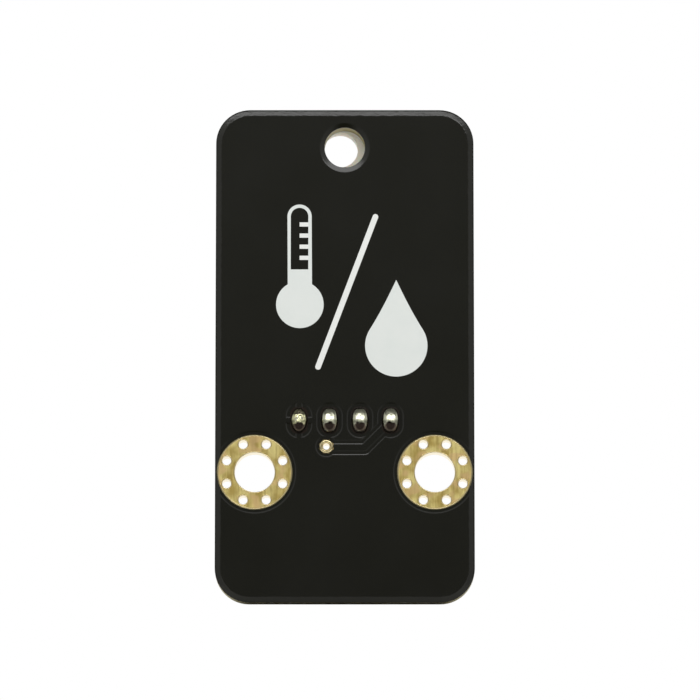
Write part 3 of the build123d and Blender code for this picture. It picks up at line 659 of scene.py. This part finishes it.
def ring_tree():
    """Tree of a plated ring: either its two lands, or its rounded rims with the lined holes."""
    sizes = "Outer radius", "Bore", "Small bore", "Small circle", "Thickness", "Foil", "Wall"
    inputs = {name: "Float" for name in (*sizes, "Bead")}
    inputs.update({"Small count": "Int", "Barrels": "Bool", "Material": "Material"})
    tree, given = new_geometry_tree("plated_ring", inputs)

    def holes(grow):
        """Outlines of the bore and of the small holes, grown by a wall."""
        bore = add_node(tree, MATH, given["Bore"], grow, operation="ADD")
        small = add_node(tree, MATH, given["Small bore"], grow, operation="ADD")
        half_step = add_node(tree, MATH, math.pi, given["Small count"], operation="DIVIDE")
        posts = add_node(
            tree, "GeometryNodeMeshCircle", given["Small count"], given["Small circle"]
        )
        turn = add_node(tree, COMBINE, 0.0, 0.0, half_step)
        posts = add_node(tree, TRANSFORM, posts, named={"Rotation": turn})
        small_line = add_node(tree, CIRCLE, SMALL_HOLE_SIDES, small)
        copies = add_node(tree, COPIES, posts, named={"Instance": small_line})
        lines = add_node(tree, JOIN, [add_node(tree, CIRCLE, BORE_SIDES, bore), copies])
        return add_node(tree, "GeometryNodeRealizeInstances", lines)

    def raised(geometry, level):
        """Geometry moved up to a level."""
        return add_node(tree, TRANSFORM, geometry, add_node(tree, COMBINE, 0.0, 0.0, level))

    def plate(lines, depth, level):
        """A plate between outlines, of a given depth and lying at a level."""
        face = add_node(tree, "GeometryNodeFillCurve", lines)
        extrusion = {"Offset Scale": depth, "Individual": False}
        body = add_node(tree, "GeometryNodeExtrudeMesh", face, named=extrusion)
        both = add_node(tree, JOIN, [body, add_node(tree, "GeometryNodeFlipFaces", face)])
        joined = add_node(tree, "GeometryNodeMergeByDistance", both, named={"Distance": TOUCHING})
        return raised(joined, level)

    foil, thickness, bead = given["Foil"], given["Thickness"], given["Bead"]
    rim = add_node(tree, CIRCLE, RING_SIDES, given["Outer radius"])
    land_lines = add_node(tree, JOIN, [rim, holes(0.0)])
    upper_level = add_node(tree, MATH, thickness, foil, operation="SUBTRACT")
    lands = [plate(land_lines, foil, 0.0), plate(land_lines, foil, upper_level)]
    barrel_depth = add_node(tree, MATH, foil, -2.0, thickness, operation="MULTIPLY_ADD")
    barrel_lines = add_node(tree, JOIN, [holes(0.0), holes(given["Wall"])])
    barrels = plate(barrel_lines, barrel_depth, foil)
    bead_radius = add_node(tree, MATH, given["Outer radius"], bead, operation="SUBTRACT")
    bead_line = add_node(tree, CIRCLE, RING_SIDES, bead_radius)
    bead_lines = add_node(tree, JOIN, [bead_line, holes(bead)])
    section = add_node(tree, CIRCLE, BEAD_SIDES, bead)
    beads = add_node(tree, "GeometryNodeCurveToMesh", bead_lines, section)
    rims = add_node(tree, JOIN, [beads, raised(beads, thickness)])
    choices = add_node(tree, JOIN, lands), add_node(tree, JOIN, [rims, barrels])
    ring = add_node(
        tree, "GeometryNodeSwitch", given["Barrels"], *choices, input_type="GEOMETRY"
    )
    return end_geometry_tree(tree, ring, given["Material"])


def board_matrix(x, z, depth):
    """Takes a piece drawn flat, with its thickness upwards, into the board at a depth."""
    turn = Matrix(((1, 0, 0), (0, 0, 1), (0, 1, 0))).to_4x4()
    return Matrix.Translation((x, depth, z)) @ turn


def face_outward(mesh):
    """Joins a mesh's touching points and turns its faces outwards."""
    builder = bmesh.new()
    builder.from_mesh(mesh)
    bmesh.ops.remove_doubles(builder, verts=builder.verts, dist=TOUCHING)
    bmesh.ops.recalc_face_normals(builder, faces=builder.faces)
    builder.to_mesh(mesh)
    builder.free()


class SENSOR_OT_gilding(bpy.types.Operator):
    """Make the gilded mounting rings and the via, and gild the foil"""

    bl_idname = "sensor_module.gilding"
    bl_label = "Gilded Rings and Via"

    def execute(self, context):
        settings = context.scene.sensor_metal
        gold, barrel, tree = gold_material(settings), barrel_material(settings), ring_tree()
        dress(gold, "solder_side_copper", "component_side_copper")
        shared = {
            "Thickness": LEFT_RING_HIGH.y - LEFT_RING_LOW.y,
            "Foil": settings.land_foil,
            "Wall": settings.hole_wall,
        }
        ring_sizes = {
            "Outer radius": RING_RADIUS,
            "Bore": settings.ring_bore,
            "Small bore": settings.small_hole_radius,
            "Small circle": settings.small_hole_circle,
            "Small count": settings.small_hole_count,
            "Bead": settings.rim_bead,
        }
        via_sizes = {
            "Outer radius": VIA_RADIUS + settings.rim_bead,
            "Bore": settings.via_bore,
            "Small count": 0,
            "Bead": settings.via_bead,
        }
        for name, node, sizes, x, z in (
            ("left_ring", "left_ring_plating", ring_sizes, RING_XS[0], 0),
            ("right_ring", "right_ring_plating", ring_sizes, RING_XS[1], 0),
            ("via", "power_via_plating", via_sizes, VIA_X, VIA_Z),
        ):
            for part, finish, replaced in (("lands", gold, [node]), ("barrels", barrel, [])):
                inputs = {**shared, **sizes, "Barrels": part == "barrels", "Material": finish}
                mesh = plain_mesh(bpy.data.meshes.new("holder"), tree, inputs)
                mesh.transform(board_matrix(x, z, LEFT_RING_LOW.y))
                face_outward(mesh)
                add_piece(name + "_" + part, mesh, finish, "gilding", *replaced)
        return {"FINISHED"}


def add_print(name, outlines, thickness, middle, material):
    """Adds raised print between closed outlines of points, at the depth of its middle."""
    curve = bpy.data.curves.new("outline", "CURVE")
    curve.dimensions = "2D"
    curve.fill_mode = "BOTH"
    curve.extrude = thickness / 2
    for points in outlines:
        spline = curve.splines.new("POLY")
        spline.points.add(len(points) - 1)
        for target, (x, y) in zip(spline.points, points):
            target.co = (x, y, 0, 1)
        spline.use_cyclic_u = True
    mesh = plain_mesh(curve)
    mesh.transform(board_matrix(0, 0, middle))
    face_outward(mesh)
    add_piece(name, mesh, material, "black_lacquer")


def arc(x, y, radius, start, end, steps=48):
    """Points along an arc from one angle to another, in degrees."""
    angles = [math.radians(start + (end - start) * i / steps) for i in range(steps + 1)]
    return [(x + radius * math.cos(a), y + radius * math.sin(a)) for a in angles]


def thermometer_outlines(ink):
    """Outline of the tube with its bulb, and of the empty part of the tube."""
    half, bore = ink.tube_width / 2, ink.tube_width / 2 - ink.tube_wall
    x, top = ink.tube_x, ink.tube_top - half
    neck = math.degrees(math.acos(half / ink.bulb_radius))
    bulb = arc(ink.bulb_x, ink.bulb_z, ink.bulb_radius, 180 - neck, 360 + neck, 96)
    level = ink.fluid_level
    empty = [*arc(x, top, bore, 0, 180), (x - bore, level), (x + bore, level)]
    return [[*arc(x, top, half, 0, 180), *bulb], empty]


def stroke_outline(ink):
    """Outline of the slanted stroke, which has round ends."""
    low, high = (ink.slash_low_x, ink.slash_low_z), (ink.slash_high_x, ink.slash_high_z)
    lean = math.degrees(math.atan2(high[1] - low[1], high[0] - low[0]))
    radius = ink.slash_width / 2
    upper_end = arc(*high, radius, lean - 90, lean + 90, 24)
    return [*upper_end, *arc(*low, radius, lean + 90, lean + 270, 24)]


def drop_outline(ink):
    """Outline of the drop: a round part, and two flanks that curve up to its tip."""
    x, z, radius, turn = ink.drop_x, ink.drop_z, ink.drop_radius, ink.drop_touch
    touch = Vector((math.cos(turn), math.sin(turn)))
    foot, tip = Vector((0, z)) + touch * radius, Vector((0, ink.drop_tip))
    third = (tip.y - foot.y) / 3
    upper = tip + Vector((ink.drop_flare, -1)) * third
    lower = foot + Vector((-touch.y, touch.x)) * third / touch.x
    flank = interpolate_bezier(tip, upper, lower, foot, 25)[:-1]
    side = math.degrees(turn)
    return [
        *[(x - point.x, point.y) for point in flank],
        *arc(x, z, radius, 180 - side, 360 + side, 96),
        *[(x + point.x, point.y) for point in reversed(flank[1:])],
    ]


def ink_material(name, settings, size, high, least, most):
    """Screen-printed epoxy ink: matt, with the screen's fine marks, and whiter where it is thick.

    Its thickness is cloudy, and goes from the least to the most at the noise's high value.
    """
    material, tree, place = new_material(name)
    white = add_node(tree, RANGE, noise(tree, place, size), SPREAD[0], high, least, most)
    colours = settings.ink, settings.ink_rim
    inputs = {
        "Base Color": add_node(tree, MIX, white, *colours, data_type="RGBA"),
        "IOR": 1.5,
        "Roughness": 0.5,
    }
    marks = noise(tree, place, INK_MESH, detail=1.0)
    return finish_surface(material, marks, 0.003 * MM, inputs)


def tick_tree():
    """Tree of scale marks: flat blocks repeated up a line."""
    inputs = {name: "Float" for name in ("Pitch", "Length", "Width", "Thickness")}
    inputs.update({"Count": "Int", "Material": "Material"})
    tree, given = new_geometry_tree("scale_marks", inputs)
    size = add_node(tree, COMBINE, given["Length"], given["Thickness"], given["Width"])
    block = add_node(tree, "GeometryNodeMeshCube", size)
    step = add_node(tree, COMBINE, 0.0, 0.0, given["Pitch"])
    line = add_node(tree, "GeometryNodeMeshLine", given["Count"], named={"Offset": step})
    copies = add_node(tree, COPIES, line, named={"Instance": block})
    return end_geometry_tree(tree, copies, given["Material"])


class SENSOR_OT_pictograms(bpy.types.Operator):
    """Print the thermometer, the slanted stroke and the drop"""

    bl_idname = "sensor_module.pictograms"
    bl_label = "Pictograms"

    def execute(self, context):
        ink = context.scene.sensor_print
        # Thin over large areas, and thick along an edge and in a fine line
        plain = ink_material("screen_ink", ink, INK_CLOUD, 0.75, 0, 0.35)
        thick = ink_material("screen_ink_thick", ink, THICK_INK_CLOUD, 0.7, 0.7, 1.0)
        height, middle = ink.thickness, -ink.thickness / 2
        add_print("thermometer_print", thermometer_outlines(ink), height, middle, plain)
        inputs = {
            "Count": ink.tick_count,
            "Pitch": ink.tick_pitch,
            "Length": ink.tick_length,
            "Width": ink.tick_width,
            "Thickness": height,
            "Material": thick,
        }
        marks = plain_mesh(bpy.data.meshes.new("holder"), tick_tree(), inputs)
        mark_x = ink.tube_x + ink.tube_width / 2 - ink.tube_wall - ink.tick_length / 2
        marks.transform(Matrix.Translation((mark_x, middle, ink.tick_low)))
        add_piece("thermometer_scale", marks, thick, "black_lacquer")
        add_print("slanted_stroke_print", [stroke_outline(ink)], height, middle, thick)
        add_print("drop_print", [drop_outline(ink)], height, middle, plain)
        return {"FINISHED"}


def bright_metal(name, tint, roughness, size, drawn, depth):
    """Soft white metal, flowed or drawn out along its length: bright, with fine duller patches."""
    material, tree, place = new_material(name)
    grain = noise(tree, place, size, (1, 1, drawn), 3.0)
    dull = (*[0.72 * value for value in tint[:3]], 1.0)
    clean = add_node(tree, RANGE, grain, *SPREAD)
    rough = roughness * 0.75, roughness * 1.3
    inputs = {
        "Base Color": add_node(tree, MIX, clean, dull, tint, data_type="RGBA"),
        "Metallic": 1.0,
        "Roughness": add_node(tree, RANGE, grain, *SPREAD, *rough),
    }
    return finish_surface(material, grain, depth, inputs)


def joint_outline(across, up):
    """Points round an outline that reaches 1 each way, squared by exponents across and up."""
    points = []
    for index in range(JOINT_SPOKES):
        turn = 2 * math.pi * index / JOINT_SPOKES
        x, z = math.cos(turn), math.sin(turn)
        near, far = 0.5, 1.5
        for _ in range(24):
            middle = (near + far) / 2
            inside = abs(middle * x) ** across + abs(middle * z) ** up < 1
            near, far = (middle, far) if inside else (near, middle)
        points.append((near * x, near * z))
    return points


def joint_mesh(x, settings, seed, across, up, unevenness):
    """Solder mound on a thin rim of solder, with its place on the land and its share of painted
    shade stored per point.
    """
    chance = random.Random(seed)
    waves = [(chance.uniform(0, 6.3), chance.choice((2, 3, 5))) for _ in range(JOINT_LEVELS)]
    half_width, half_height = settings.skirt_width / 2, settings.skirt_length / 2
    foot = [(px * half_width, pz * half_height) for px, pz in joint_outline(*FOOT_EXPONENTS)]
    loops = [
        [(px, rise, pz, 1.0) for px, pz in foot]
        for rise in (-settings.skirt_rise, settings.skirt_rise)
    ]
    half_width, half_height = settings.joint_width / 2, settings.joint_length / 2
    outline = joint_outline(across, up)
    for level, (phase, lobes) in enumerate(waves):
        reach = math.cos(math.pi / 2 * level / JOINT_LEVELS)
        sag = settings.joint_sag * (1 - reach)
        shade_share = (reach - STEEP_START) / (STEEP_END - STEEP_START)
        shade_share = min(1.0, max(0.0, shade_share))
        loop = []
        for index, (px, pz) in enumerate(outline):
            px, pz = px * reach, pz * reach
            full = max(0.0, 1 - abs(px) ** across - abs(pz) ** up)
            wave = math.sin(lobes * 2 * math.pi * index / JOINT_SPOKES + phase)
            rise = settings.skirt_rise + settings.joint_height * full**settings.joint_power
            rise *= 1 + unevenness * wave * reach * (1 - reach) * 4
            loop.append((px * half_width, rise, pz * half_height - sag, shade_share))
        loops.append(loop)
    builder = bmesh.new()
    land_place = builder.verts.layers.float_vector.new("land_place")
    # This layer holds the share of painted shade at each point: full on the thin rim and the
    # mound's steep foot, none higher up.
    skirt = builder.verts.layers.float.new("skirt")
    rows = []
    for loop in loops:
        rows.append([])
        for px, rise, pz, shade_share in loop:
            vertex = builder.verts.new((x + px, -rise, LEAD_ROW_Z + pz))
            vertex[land_place] = (px / MM, 0, pz / MM)
            vertex[skirt] = shade_share
            rows[-1].append(vertex)
    for lower, upper in zip(rows, rows[1:]):
        for index in range(JOINT_SPOKES):
            after = (index + 1) % JOINT_SPOKES
            builder.faces.new((lower[index], lower[after], upper[after], upper[index]))
    builder.faces.new(rows[-1])
    builder.faces.new(rows[0])
    bmesh.ops.recalc_face_normals(builder, faces=builder.faces)
    return smooth_mesh(builder, "joint", SOLDER_CREASE)


def joint_material(name, tint, settings, roughness, depth, ragged):
    """Hand-made solder: a bright skin over the top, and painted shade on its lower side and foot.

    A ragged one has specks of flux near its top too.
    """
    material, tree, place = new_material(name)
    on_land = add_node(tree, "ShaderNodeAttribute", attribute_name="land_place").outputs["Vector"]
    skirt = add_node(tree, "ShaderNodeAttribute", attribute_name="skirt").outputs["Fac"]
    grain = noise(tree, place, JOINT_GRAIN, detail=3.0)
    axes = add_node(tree, "ShaderNodeSeparateXYZ", on_land).outputs
    aside = add_node(tree, MATH, axes["X"], operation="ABSOLUTE")

    # The painted shade is an oval low on the land, whose edge wavers with the grain
    shift = add_node(tree, RANGE, grain, *SPREAD, -0.09, 0.09)
    level = add_node(tree, MATH, axes["Z"], shift, operation="ADD")
    specks_and_shade = add_node(tree, COMBINE, aside, 0.0, level)
    specks_and_shade = add_node(tree, VECTOR, specks_and_shade, (0, 0, settings.shade_drop / MM), operation="ADD")
    size = (MM / settings.shade_half_width, 1, MM / settings.shade_half_height)
    specks_and_shade = add_node(tree, VECTOR, specks_and_shade, size, operation="MULTIPLY")
    specks_and_shade = add_node(tree, VECTOR, specks_and_shade, operation="LENGTH")
    specks_and_shade = add_node(tree, RANGE, specks_and_shade, 0.82, 1.04, 1, 0)
    specks_and_shade_parts = [specks_and_shade]
    if ragged:
        specks = noise(tree, place, FLUX_SPECK, detail=4.0)
        specks = add_node(tree, RANGE, specks, 0.42, 0.52, 0, 0.9)
        high = add_node(tree, RANGE, axes["Z"], 0.25, 0.5)
        specks_and_shade_parts.append(add_node(tree, MATH, specks, high, operation="MULTIPLY"))
    specks_and_shade = combined(tree, "MAXIMUM", *specks_and_shade_parts, skirt)

    # Darker painted shade lies in a spot in that oval, and on the thin rim round the foot
    deep_shade_place, radius = (0, 0, -settings.deep_shade_drop / MM), settings.deep_shade_radius / MM
    deep_shade_spot = add_node(tree, VECTOR, on_land, deep_shade_place, operation="DISTANCE")
    deep_shade_spot = add_node(tree, RANGE, deep_shade_spot, 0.8 * radius, radius, 1, 0)
    foot_shade_depth = add_node(tree, MATH, skirt, settings.foot_shade_depth, operation="MULTIPLY")
    deep_shade = add_node(tree, MATH, deep_shade_spot, foot_shade_depth, operation="MAXIMUM")
    painted_shade = add_node(tree, MIX, deep_shade, settings.painted_shade, settings.painted_deep_shade, data_type="RGBA")
    rough = roughness * 0.8, roughness * 1.25
    inputs = {
        "Base Color": add_node(tree, MIX, specks_and_shade, tint, painted_shade, data_type="RGBA"),
        "Metallic": 1.0,
        "Roughness": add_node(tree, RANGE, grain, *SPREAD, *rough),
    }
    return finish_surface(material, grain, depth, inputs)


class SENSOR_OT_solder(bpy.types.Operator):
    """Make the solder joints and finish the leads"""

    bl_idname = "sensor_module.solder"
    bl_label = "Solder and Leads"

    def execute(self, context):
        settings = context.scene.sensor_metal
        bright, stained = settings.solder, settings.stained_solder
        solder = bright_metal("bright_solder", bright, 0.14, SOLDER_GRAIN, 1, 0.002 * MM)
        tin = bright_metal("tin_plate", settings.tin, 0.34, TIN_GRAIN, 8, 0.003 * MM)
        # Both joint finishes carry painted shade on the lower side of each joint and round its
        # foot.
        clean = joint_material("hand_soldered_joint", bright, settings, 0.22, 0.0012 * MM, False)
        stained = joint_material("flux_stained_joint", stained, settings, 0.2, 0.004 * MM, True)
        # Finish, exponents of the outline across and up, and unevenness; the ground joint is first
        forms = [(stained, 2.2, 1.4, 0.03)] + 3 * [(clean, 3.4, 1.5, 0.008)]
        for seed, (name, x, (finish, *form)) in enumerate(zip(LEAD_NAMES, LEAD_XS, forms)):
            replaced = ["sensor_solder_joints"] if seed == 0 else []
            mesh = joint_mesh(x, settings, seed, *form)
            add_piece(name + "_joint", mesh, finish, "solder", *replaced)
        dress(solder, "connector_solder_fillets", "small_part_solder_fillets", "lead_hole_plating")
        dress(tin, *LEAD_NAMES, "humidity_element_pins", "thermistor_wires", "sensor_chip_legs")
        dress(tin, "connector_contacts", "connector_anchor_tabs")
        dress(tin, "resistor_end_caps", "capacitor_end_caps")
        return {"FINISHED"}


def moulded_body(name, tint, roughness, size, depth, scatter=0):
    """Body that was moulded, dipped or fired in one colour: a fine even skin, faintly cloudy."""
    material, tree, place = new_material(name)
    grain = noise(tree, place, size)
    cloud = add_node(tree, RANGE, noise(tree, place, BODY_CLOUD), *SPREAD)
    shade = (*[0.9 * value for value in tint[:3]], 1.0)
    rough = roughness * 0.9, roughness * 1.15
    inputs = {
        "Base Color": add_node(tree, MIX, cloud, shade, tint, data_type="RGBA"),
        "IOR": 1.54,
        "Roughness": add_node(tree, RANGE, grain, *SPREAD, *rough),
        "Subsurface Weight": scatter,
        "Subsurface Scale": 0.6 * MM,
    }
    return finish_surface(material, grain, depth, inputs)


class SENSOR_OT_sensor(bpy.types.Operator):
    """Finish the sensor's case and what it holds"""

    bl_idname = "sensor_module.sensor"
    bl_label = "Sensor"

    def execute(self, context):
        settings = context.scene.sensor_plastic
        # ABS from a spark-eroded mould: softly matt, with a little light inside it
        case = moulded_body("moulded_abs", settings.case, 0.5, 0.14, 0.006 * MM, 0.25)
        for name in ("sensor_back_case", "sensor_front_cover"):
            rounded_copy(name, case, "white_case", settings.edge_radius)
        # Solder lacquer on a small board: smooth and glossy, with long shallow waves
        green = moulded_body("green_lacquer", settings.inner_board, 0.25, 0.6, 0.002 * MM)
        dress(green, "sensor_inner_board")
        # Alumina, fired: dense, dull and chalky
        ceramic = moulded_body("fired_alumina", settings.ceramic, 0.6, 0.05, 0.004 * MM, 0.1)
        dress(ceramic, "humidity_element")
        # Epoxy, moulded or dipped: black with a dull shine
        epoxy = moulded_body("black_epoxy", settings.epoxy, 0.4, 0.08, 0.004 * MM)
        dress(epoxy, "sensor_controller_chip", "thermistor_bead")
        dress(bpy.data.materials["immersion_gold"], "humidity_electrodes")
        return {"FINISHED"}


class SENSOR_OT_connector(bpy.types.Operator):
    """Finish the plug connector"""

    bl_idname = "sensor_module.connector"
    bl_label = "Plug Connector"

    def execute(self, context):
        settings = context.scene.sensor_plastic
        # Natural nylon, moulded: creamy, satin, and a little translucent
        nylon = moulded_body("natural_nylon", settings.nylon, 0.42, 0.2, 0.004 * MM, 0.35)
        rounded_copy("connector_housing", nylon, "connector_nylon", settings.edge_radius)
        return {"FINISHED"}


class SENSOR_OT_small_parts(bpy.types.Operator):
    """Finish the resistor and the capacitor"""

    bl_idname = "sensor_module.small_parts"
    bl_label = "Resistor and Capacitor"

    def execute(self, context):
        settings = context.scene.sensor_plastic
        # Fired glass glaze: black and shiny
        glaze = moulded_body("resistor_glaze", settings.epoxy, 0.2, 0.3, 0.002 * MM)
        dress(glaze, "pull_up_resistor")
        # Fired ceramic: tan, with a fine dull grain
        body = moulded_body("fired_capacitor", settings.capacitor, 0.5, 0.06, 0.003 * MM)
        dress(body, "bypass_capacitor")
        return {"FINISHED"}


def framed_outline(low, high, width):
    """Outer and inner outlines of a line of a given width round a box."""
    outlines = []
    for grow in (width, 0):
        left, right, foot, top = low.x - grow, high.x + grow, low.z - grow, high.z + grow
        outlines.append([(left, foot), (right, foot), (right, top), (left, top)])
    return outlines


class SENSOR_OT_rear_print(bpy.types.Operator):
    """Print the outlines of the parts on the component side"""

    bl_idname = "sensor_module.rear_print"
    bl_label = "Component Side Print"

    def execute(self, context):
        ink = context.scene.sensor_print
        thick = bpy.data.materials["screen_ink_thick"]
        gap = Vector((ink.line_gap, 0, ink.line_gap))
        low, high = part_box("connector_housing")
        # The outline stays on the board, even where the housing reaches the board's foot
        low.z = max(low.z, BOARD_LOW.z + ink.framed_from)
        case_low, case_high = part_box("sensor_front_cover")
        outlines = {
            "connector_outline_print": (low - gap * CONNECTOR_GAP, high + gap),
            "sensor_outline_print": (case_low - gap, case_high + gap),
        }
        for name in ("resistor", "capacitor"):
            low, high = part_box(name + "_end_caps")
            small_gap = gap * SMALL_PART_GAP
            outlines[name + "_outline_print"] = (low - small_gap, high + small_gap)
        middle = COMPONENT_FACE + ink.thickness / 2
        for name, corners in outlines.items():
            lines = framed_outline(*corners, ink.line_width)
            add_print(name, lines, ink.thickness, middle, thick)
        return {"FINISHED"}


def studio_world(settings):
    """White room behind the board and beside it, and a darker one in front of its solder side.

    Each range is where one part of the room gives way to the next, as the sine of an angle.
    """
    world = bpy.data.worlds.new("white_backdrop_and_dark_front")
    world.use_nodes = True
    tree = world.node_tree
    tree.nodes.clear()
    way = add_node(tree, "ShaderNodeTexCoord").outputs["Generated"]
    axes = add_node(tree, "ShaderNodeSeparateXYZ", way).outputs
    path = add_node(tree, "ShaderNodeLightPath").outputs

    # What mirrors see: a dim front, pale panels at its sides, white behind and a dark ceiling
    levels = settings.low_mirror, settings.high_mirror
    front = add_node(tree, RANGE, axes["Z"], -0.02, 0.35, *levels)
    aside = add_node(tree, MATH, axes["X"], operation="ABSOLUTE")
    panels = add_node(tree, RANGE, aside, 0.08, 0.2, 0, settings.side_mirror)
    panel_fade = add_node(tree, RANGE, aside, 0.32, 0.6, 1, 0.3)
    sides = add_node(tree, MATH, panels, panel_fade, operation="MULTIPLY")
    behind = add_node(tree, RANGE, axes["Y"], 0.15, 0.5)
    white = add_node(tree, MATH, sides, behind, operation="MAXIMUM")
    mirror = add_node(tree, MIX, white, front, 1.0)
    overhead = add_node(tree, RANGE, axes["Z"], 0.6, 0.68)
    mirror = add_node(tree, MIX, overhead, mirror, settings.ceiling)

    # What dull surfaces get, and the plain white that the camera sees
    plain = add_node(tree, RANGE, axes["Y"], -0.1, 0.3, settings.fill, 1)
    level = add_node(tree, MIX, path["Is Glossy Ray"], plain, mirror)
    seen = combined(tree, "MAXIMUM", path["Is Camera Ray"], path["Is Transmission Ray"])
    level = add_node(tree, MIX, seen, level, 1.0)
    glow = add_node(tree, "ShaderNodeBackground", (1, 1, 1, 1), level)
    add_node(tree, "ShaderNodeOutputWorld", glow)
    return world


def add_softbox(settings, centre):
    """Adds the wide softbox above the camera, aimed at the board."""
    turn, lift = settings.box_azimuth, settings.box_elevation
    away = Vector((math.sin(turn), -math.cos(turn), math.tan(lift))).normalized()
    lamp = bpy.data.lights.new("front_softbox", "AREA")
    lamp.shape = "RECTANGLE"
    lamp.size, lamp.size_y = settings.box_width, settings.box_height
    lamp.energy = settings.box_power
    holder = bpy.data.objects.new("front_softbox", lamp)
    holder.location = centre + away * settings.box_distance
    holder.rotation_euler = away.to_track_quat("Z", "Y").to_euler()
    bpy.context.scene.collection.objects.link(holder)


def floor_material(settings):
    """Pale matt paint that is seen from above only and fades into the backdrop."""
    material, tree, place = new_material("pale_floor")
    shader = tree.nodes["Principled BSDF"]
    shader.inputs["Base Color"].default_value = settings.floor
    shader.inputs["Roughness"].default_value = 0.9
    below = add_node(tree, "ShaderNodeNewGeometry").outputs["Backfacing"]
    away = add_node(tree, VECTOR, place, operation="LENGTH")
    reach, end = settings.floor_reach, settings.floor_reach + settings.floor_fade
    fade = add_node(tree, RANGE, away, reach / MM, end / MM)
    hidden = add_node(tree, MATH, below, fade, operation="MAXIMUM")
    clear = add_node(tree, "ShaderNodeBsdfTransparent")
    mixed = add_node(tree, "ShaderNodeMixShader", hidden, shader, clear)
    fill(tree, tree.nodes["Material Output"].inputs["Surface"], mixed)
    return material


class SENSOR_OT_stage(bpy.types.Operator):
    """Set up the floor, the lamp, the room and the camera"""

    bl_idname = "sensor_module.stage"
    bl_label = "Studio"

    def execute(self, context):
        scene = context.scene
        settings = scene.sensor_studio
        scene.view_settings.view_transform = "Standard"
        scene.world = studio_world(settings)
        add_softbox(settings, (CAD_BOX[0] + CAD_BOX[1]) / 2)
        builder = bmesh.new()
        level = CAD_BOX[0].z - FLOOR_GAP
        corners = [(-1, -1), (1, -1), (1, 1), (-1, 1)]
        points = [(x * FLOOR_REACH, y * FLOOR_REACH, level) for x, y in corners]
        builder.faces.new([builder.verts.new(point) for point in points])
        mesh = bpy.data.meshes.new("floor")
        builder.to_mesh(mesh)
        builder.free()
        mesh.materials.append(floor_material(settings))
        floor = bpy.data.objects.new("floor", mesh)
        scene.collection.objects.link(floor)
        lens = bpy.data.cameras.new("camera")
        lens.lens = settings.lens
        lens.clip_start = 0.01
        camera = bpy.data.objects.new("camera", lens)
        lift = settings.elevation
        back = Vector((0, -math.cos(lift), math.sin(lift)))
        aim = Vector((settings.aim_x, 0, settings.aim_z))
        camera.location = aim + back * settings.distance
        camera.rotation_euler = back.to_track_quat("Z", "Y").to_euler()
        scene.collection.objects.link(camera)
        scene.camera = camera
        return {"FINISHED"}


GROUPS = {
    "sensor_lacquer": SENSOR_PG_lacquer,
    "sensor_print": SENSOR_PG_print,
    "sensor_metal": SENSOR_PG_metal,
    "sensor_plastic": SENSOR_PG_plastic,
    "sensor_studio": SENSOR_PG_studio,
}
OPERATORS = (
    SENSOR_OT_lacquer,
    SENSOR_OT_laminate,
    SENSOR_OT_gilding,
    SENSOR_OT_pictograms,
    SENSOR_OT_solder,
    SENSOR_OT_sensor,
    SENSOR_OT_connector,
    SENSOR_OT_small_parts,
    SENSOR_OT_rear_print,
    SENSOR_OT_stage,
)


class SENSOR_PT_panel(bpy.types.Panel):
    """Lists the steps that dress the sensor module"""

    bl_idname = "SENSOR_PT_panel"
    bl_label = "Sensor Module"
    bl_space_type = "VIEW_3D"
    bl_region_type = "UI"
    bl_category = "Sensor Module"

    def draw(self, context):
        for operator in OPERATORS:
            self.layout.operator(operator.bl_idname)
        for name, group in GROUPS.items():
            box = self.layout.box()
            box.label(text=group.__doc__)
            for key in group.__annotations__:
                box.prop(getattr(context.scene, name), key)


def register():
    for name, group in GROUPS.items():
        bpy.utils.register_class(group)
        setattr(bpy.types.Scene, name, PointerProperty(type=group))
    for operator in OPERATORS:
        bpy.utils.register_class(operator)
    bpy.utils.register_class(SENSOR_PT_panel)


def unregister():
    bpy.utils.unregister_class(SENSOR_PT_panel)
    for operator in reversed(OPERATORS):
        bpy.utils.unregister_class(operator)
    for name, group in reversed(GROUPS.items()):
        delattr(bpy.types.Scene, name)
        bpy.utils.unregister_class(group)


def main():
    """Runs every step in order."""
    register()
    for operator in OPERATORS:
        group, name = operator.bl_idname.split(".")
        getattr(getattr(bpy.ops, group), name)()


if __name__ == "__main__":
    main()
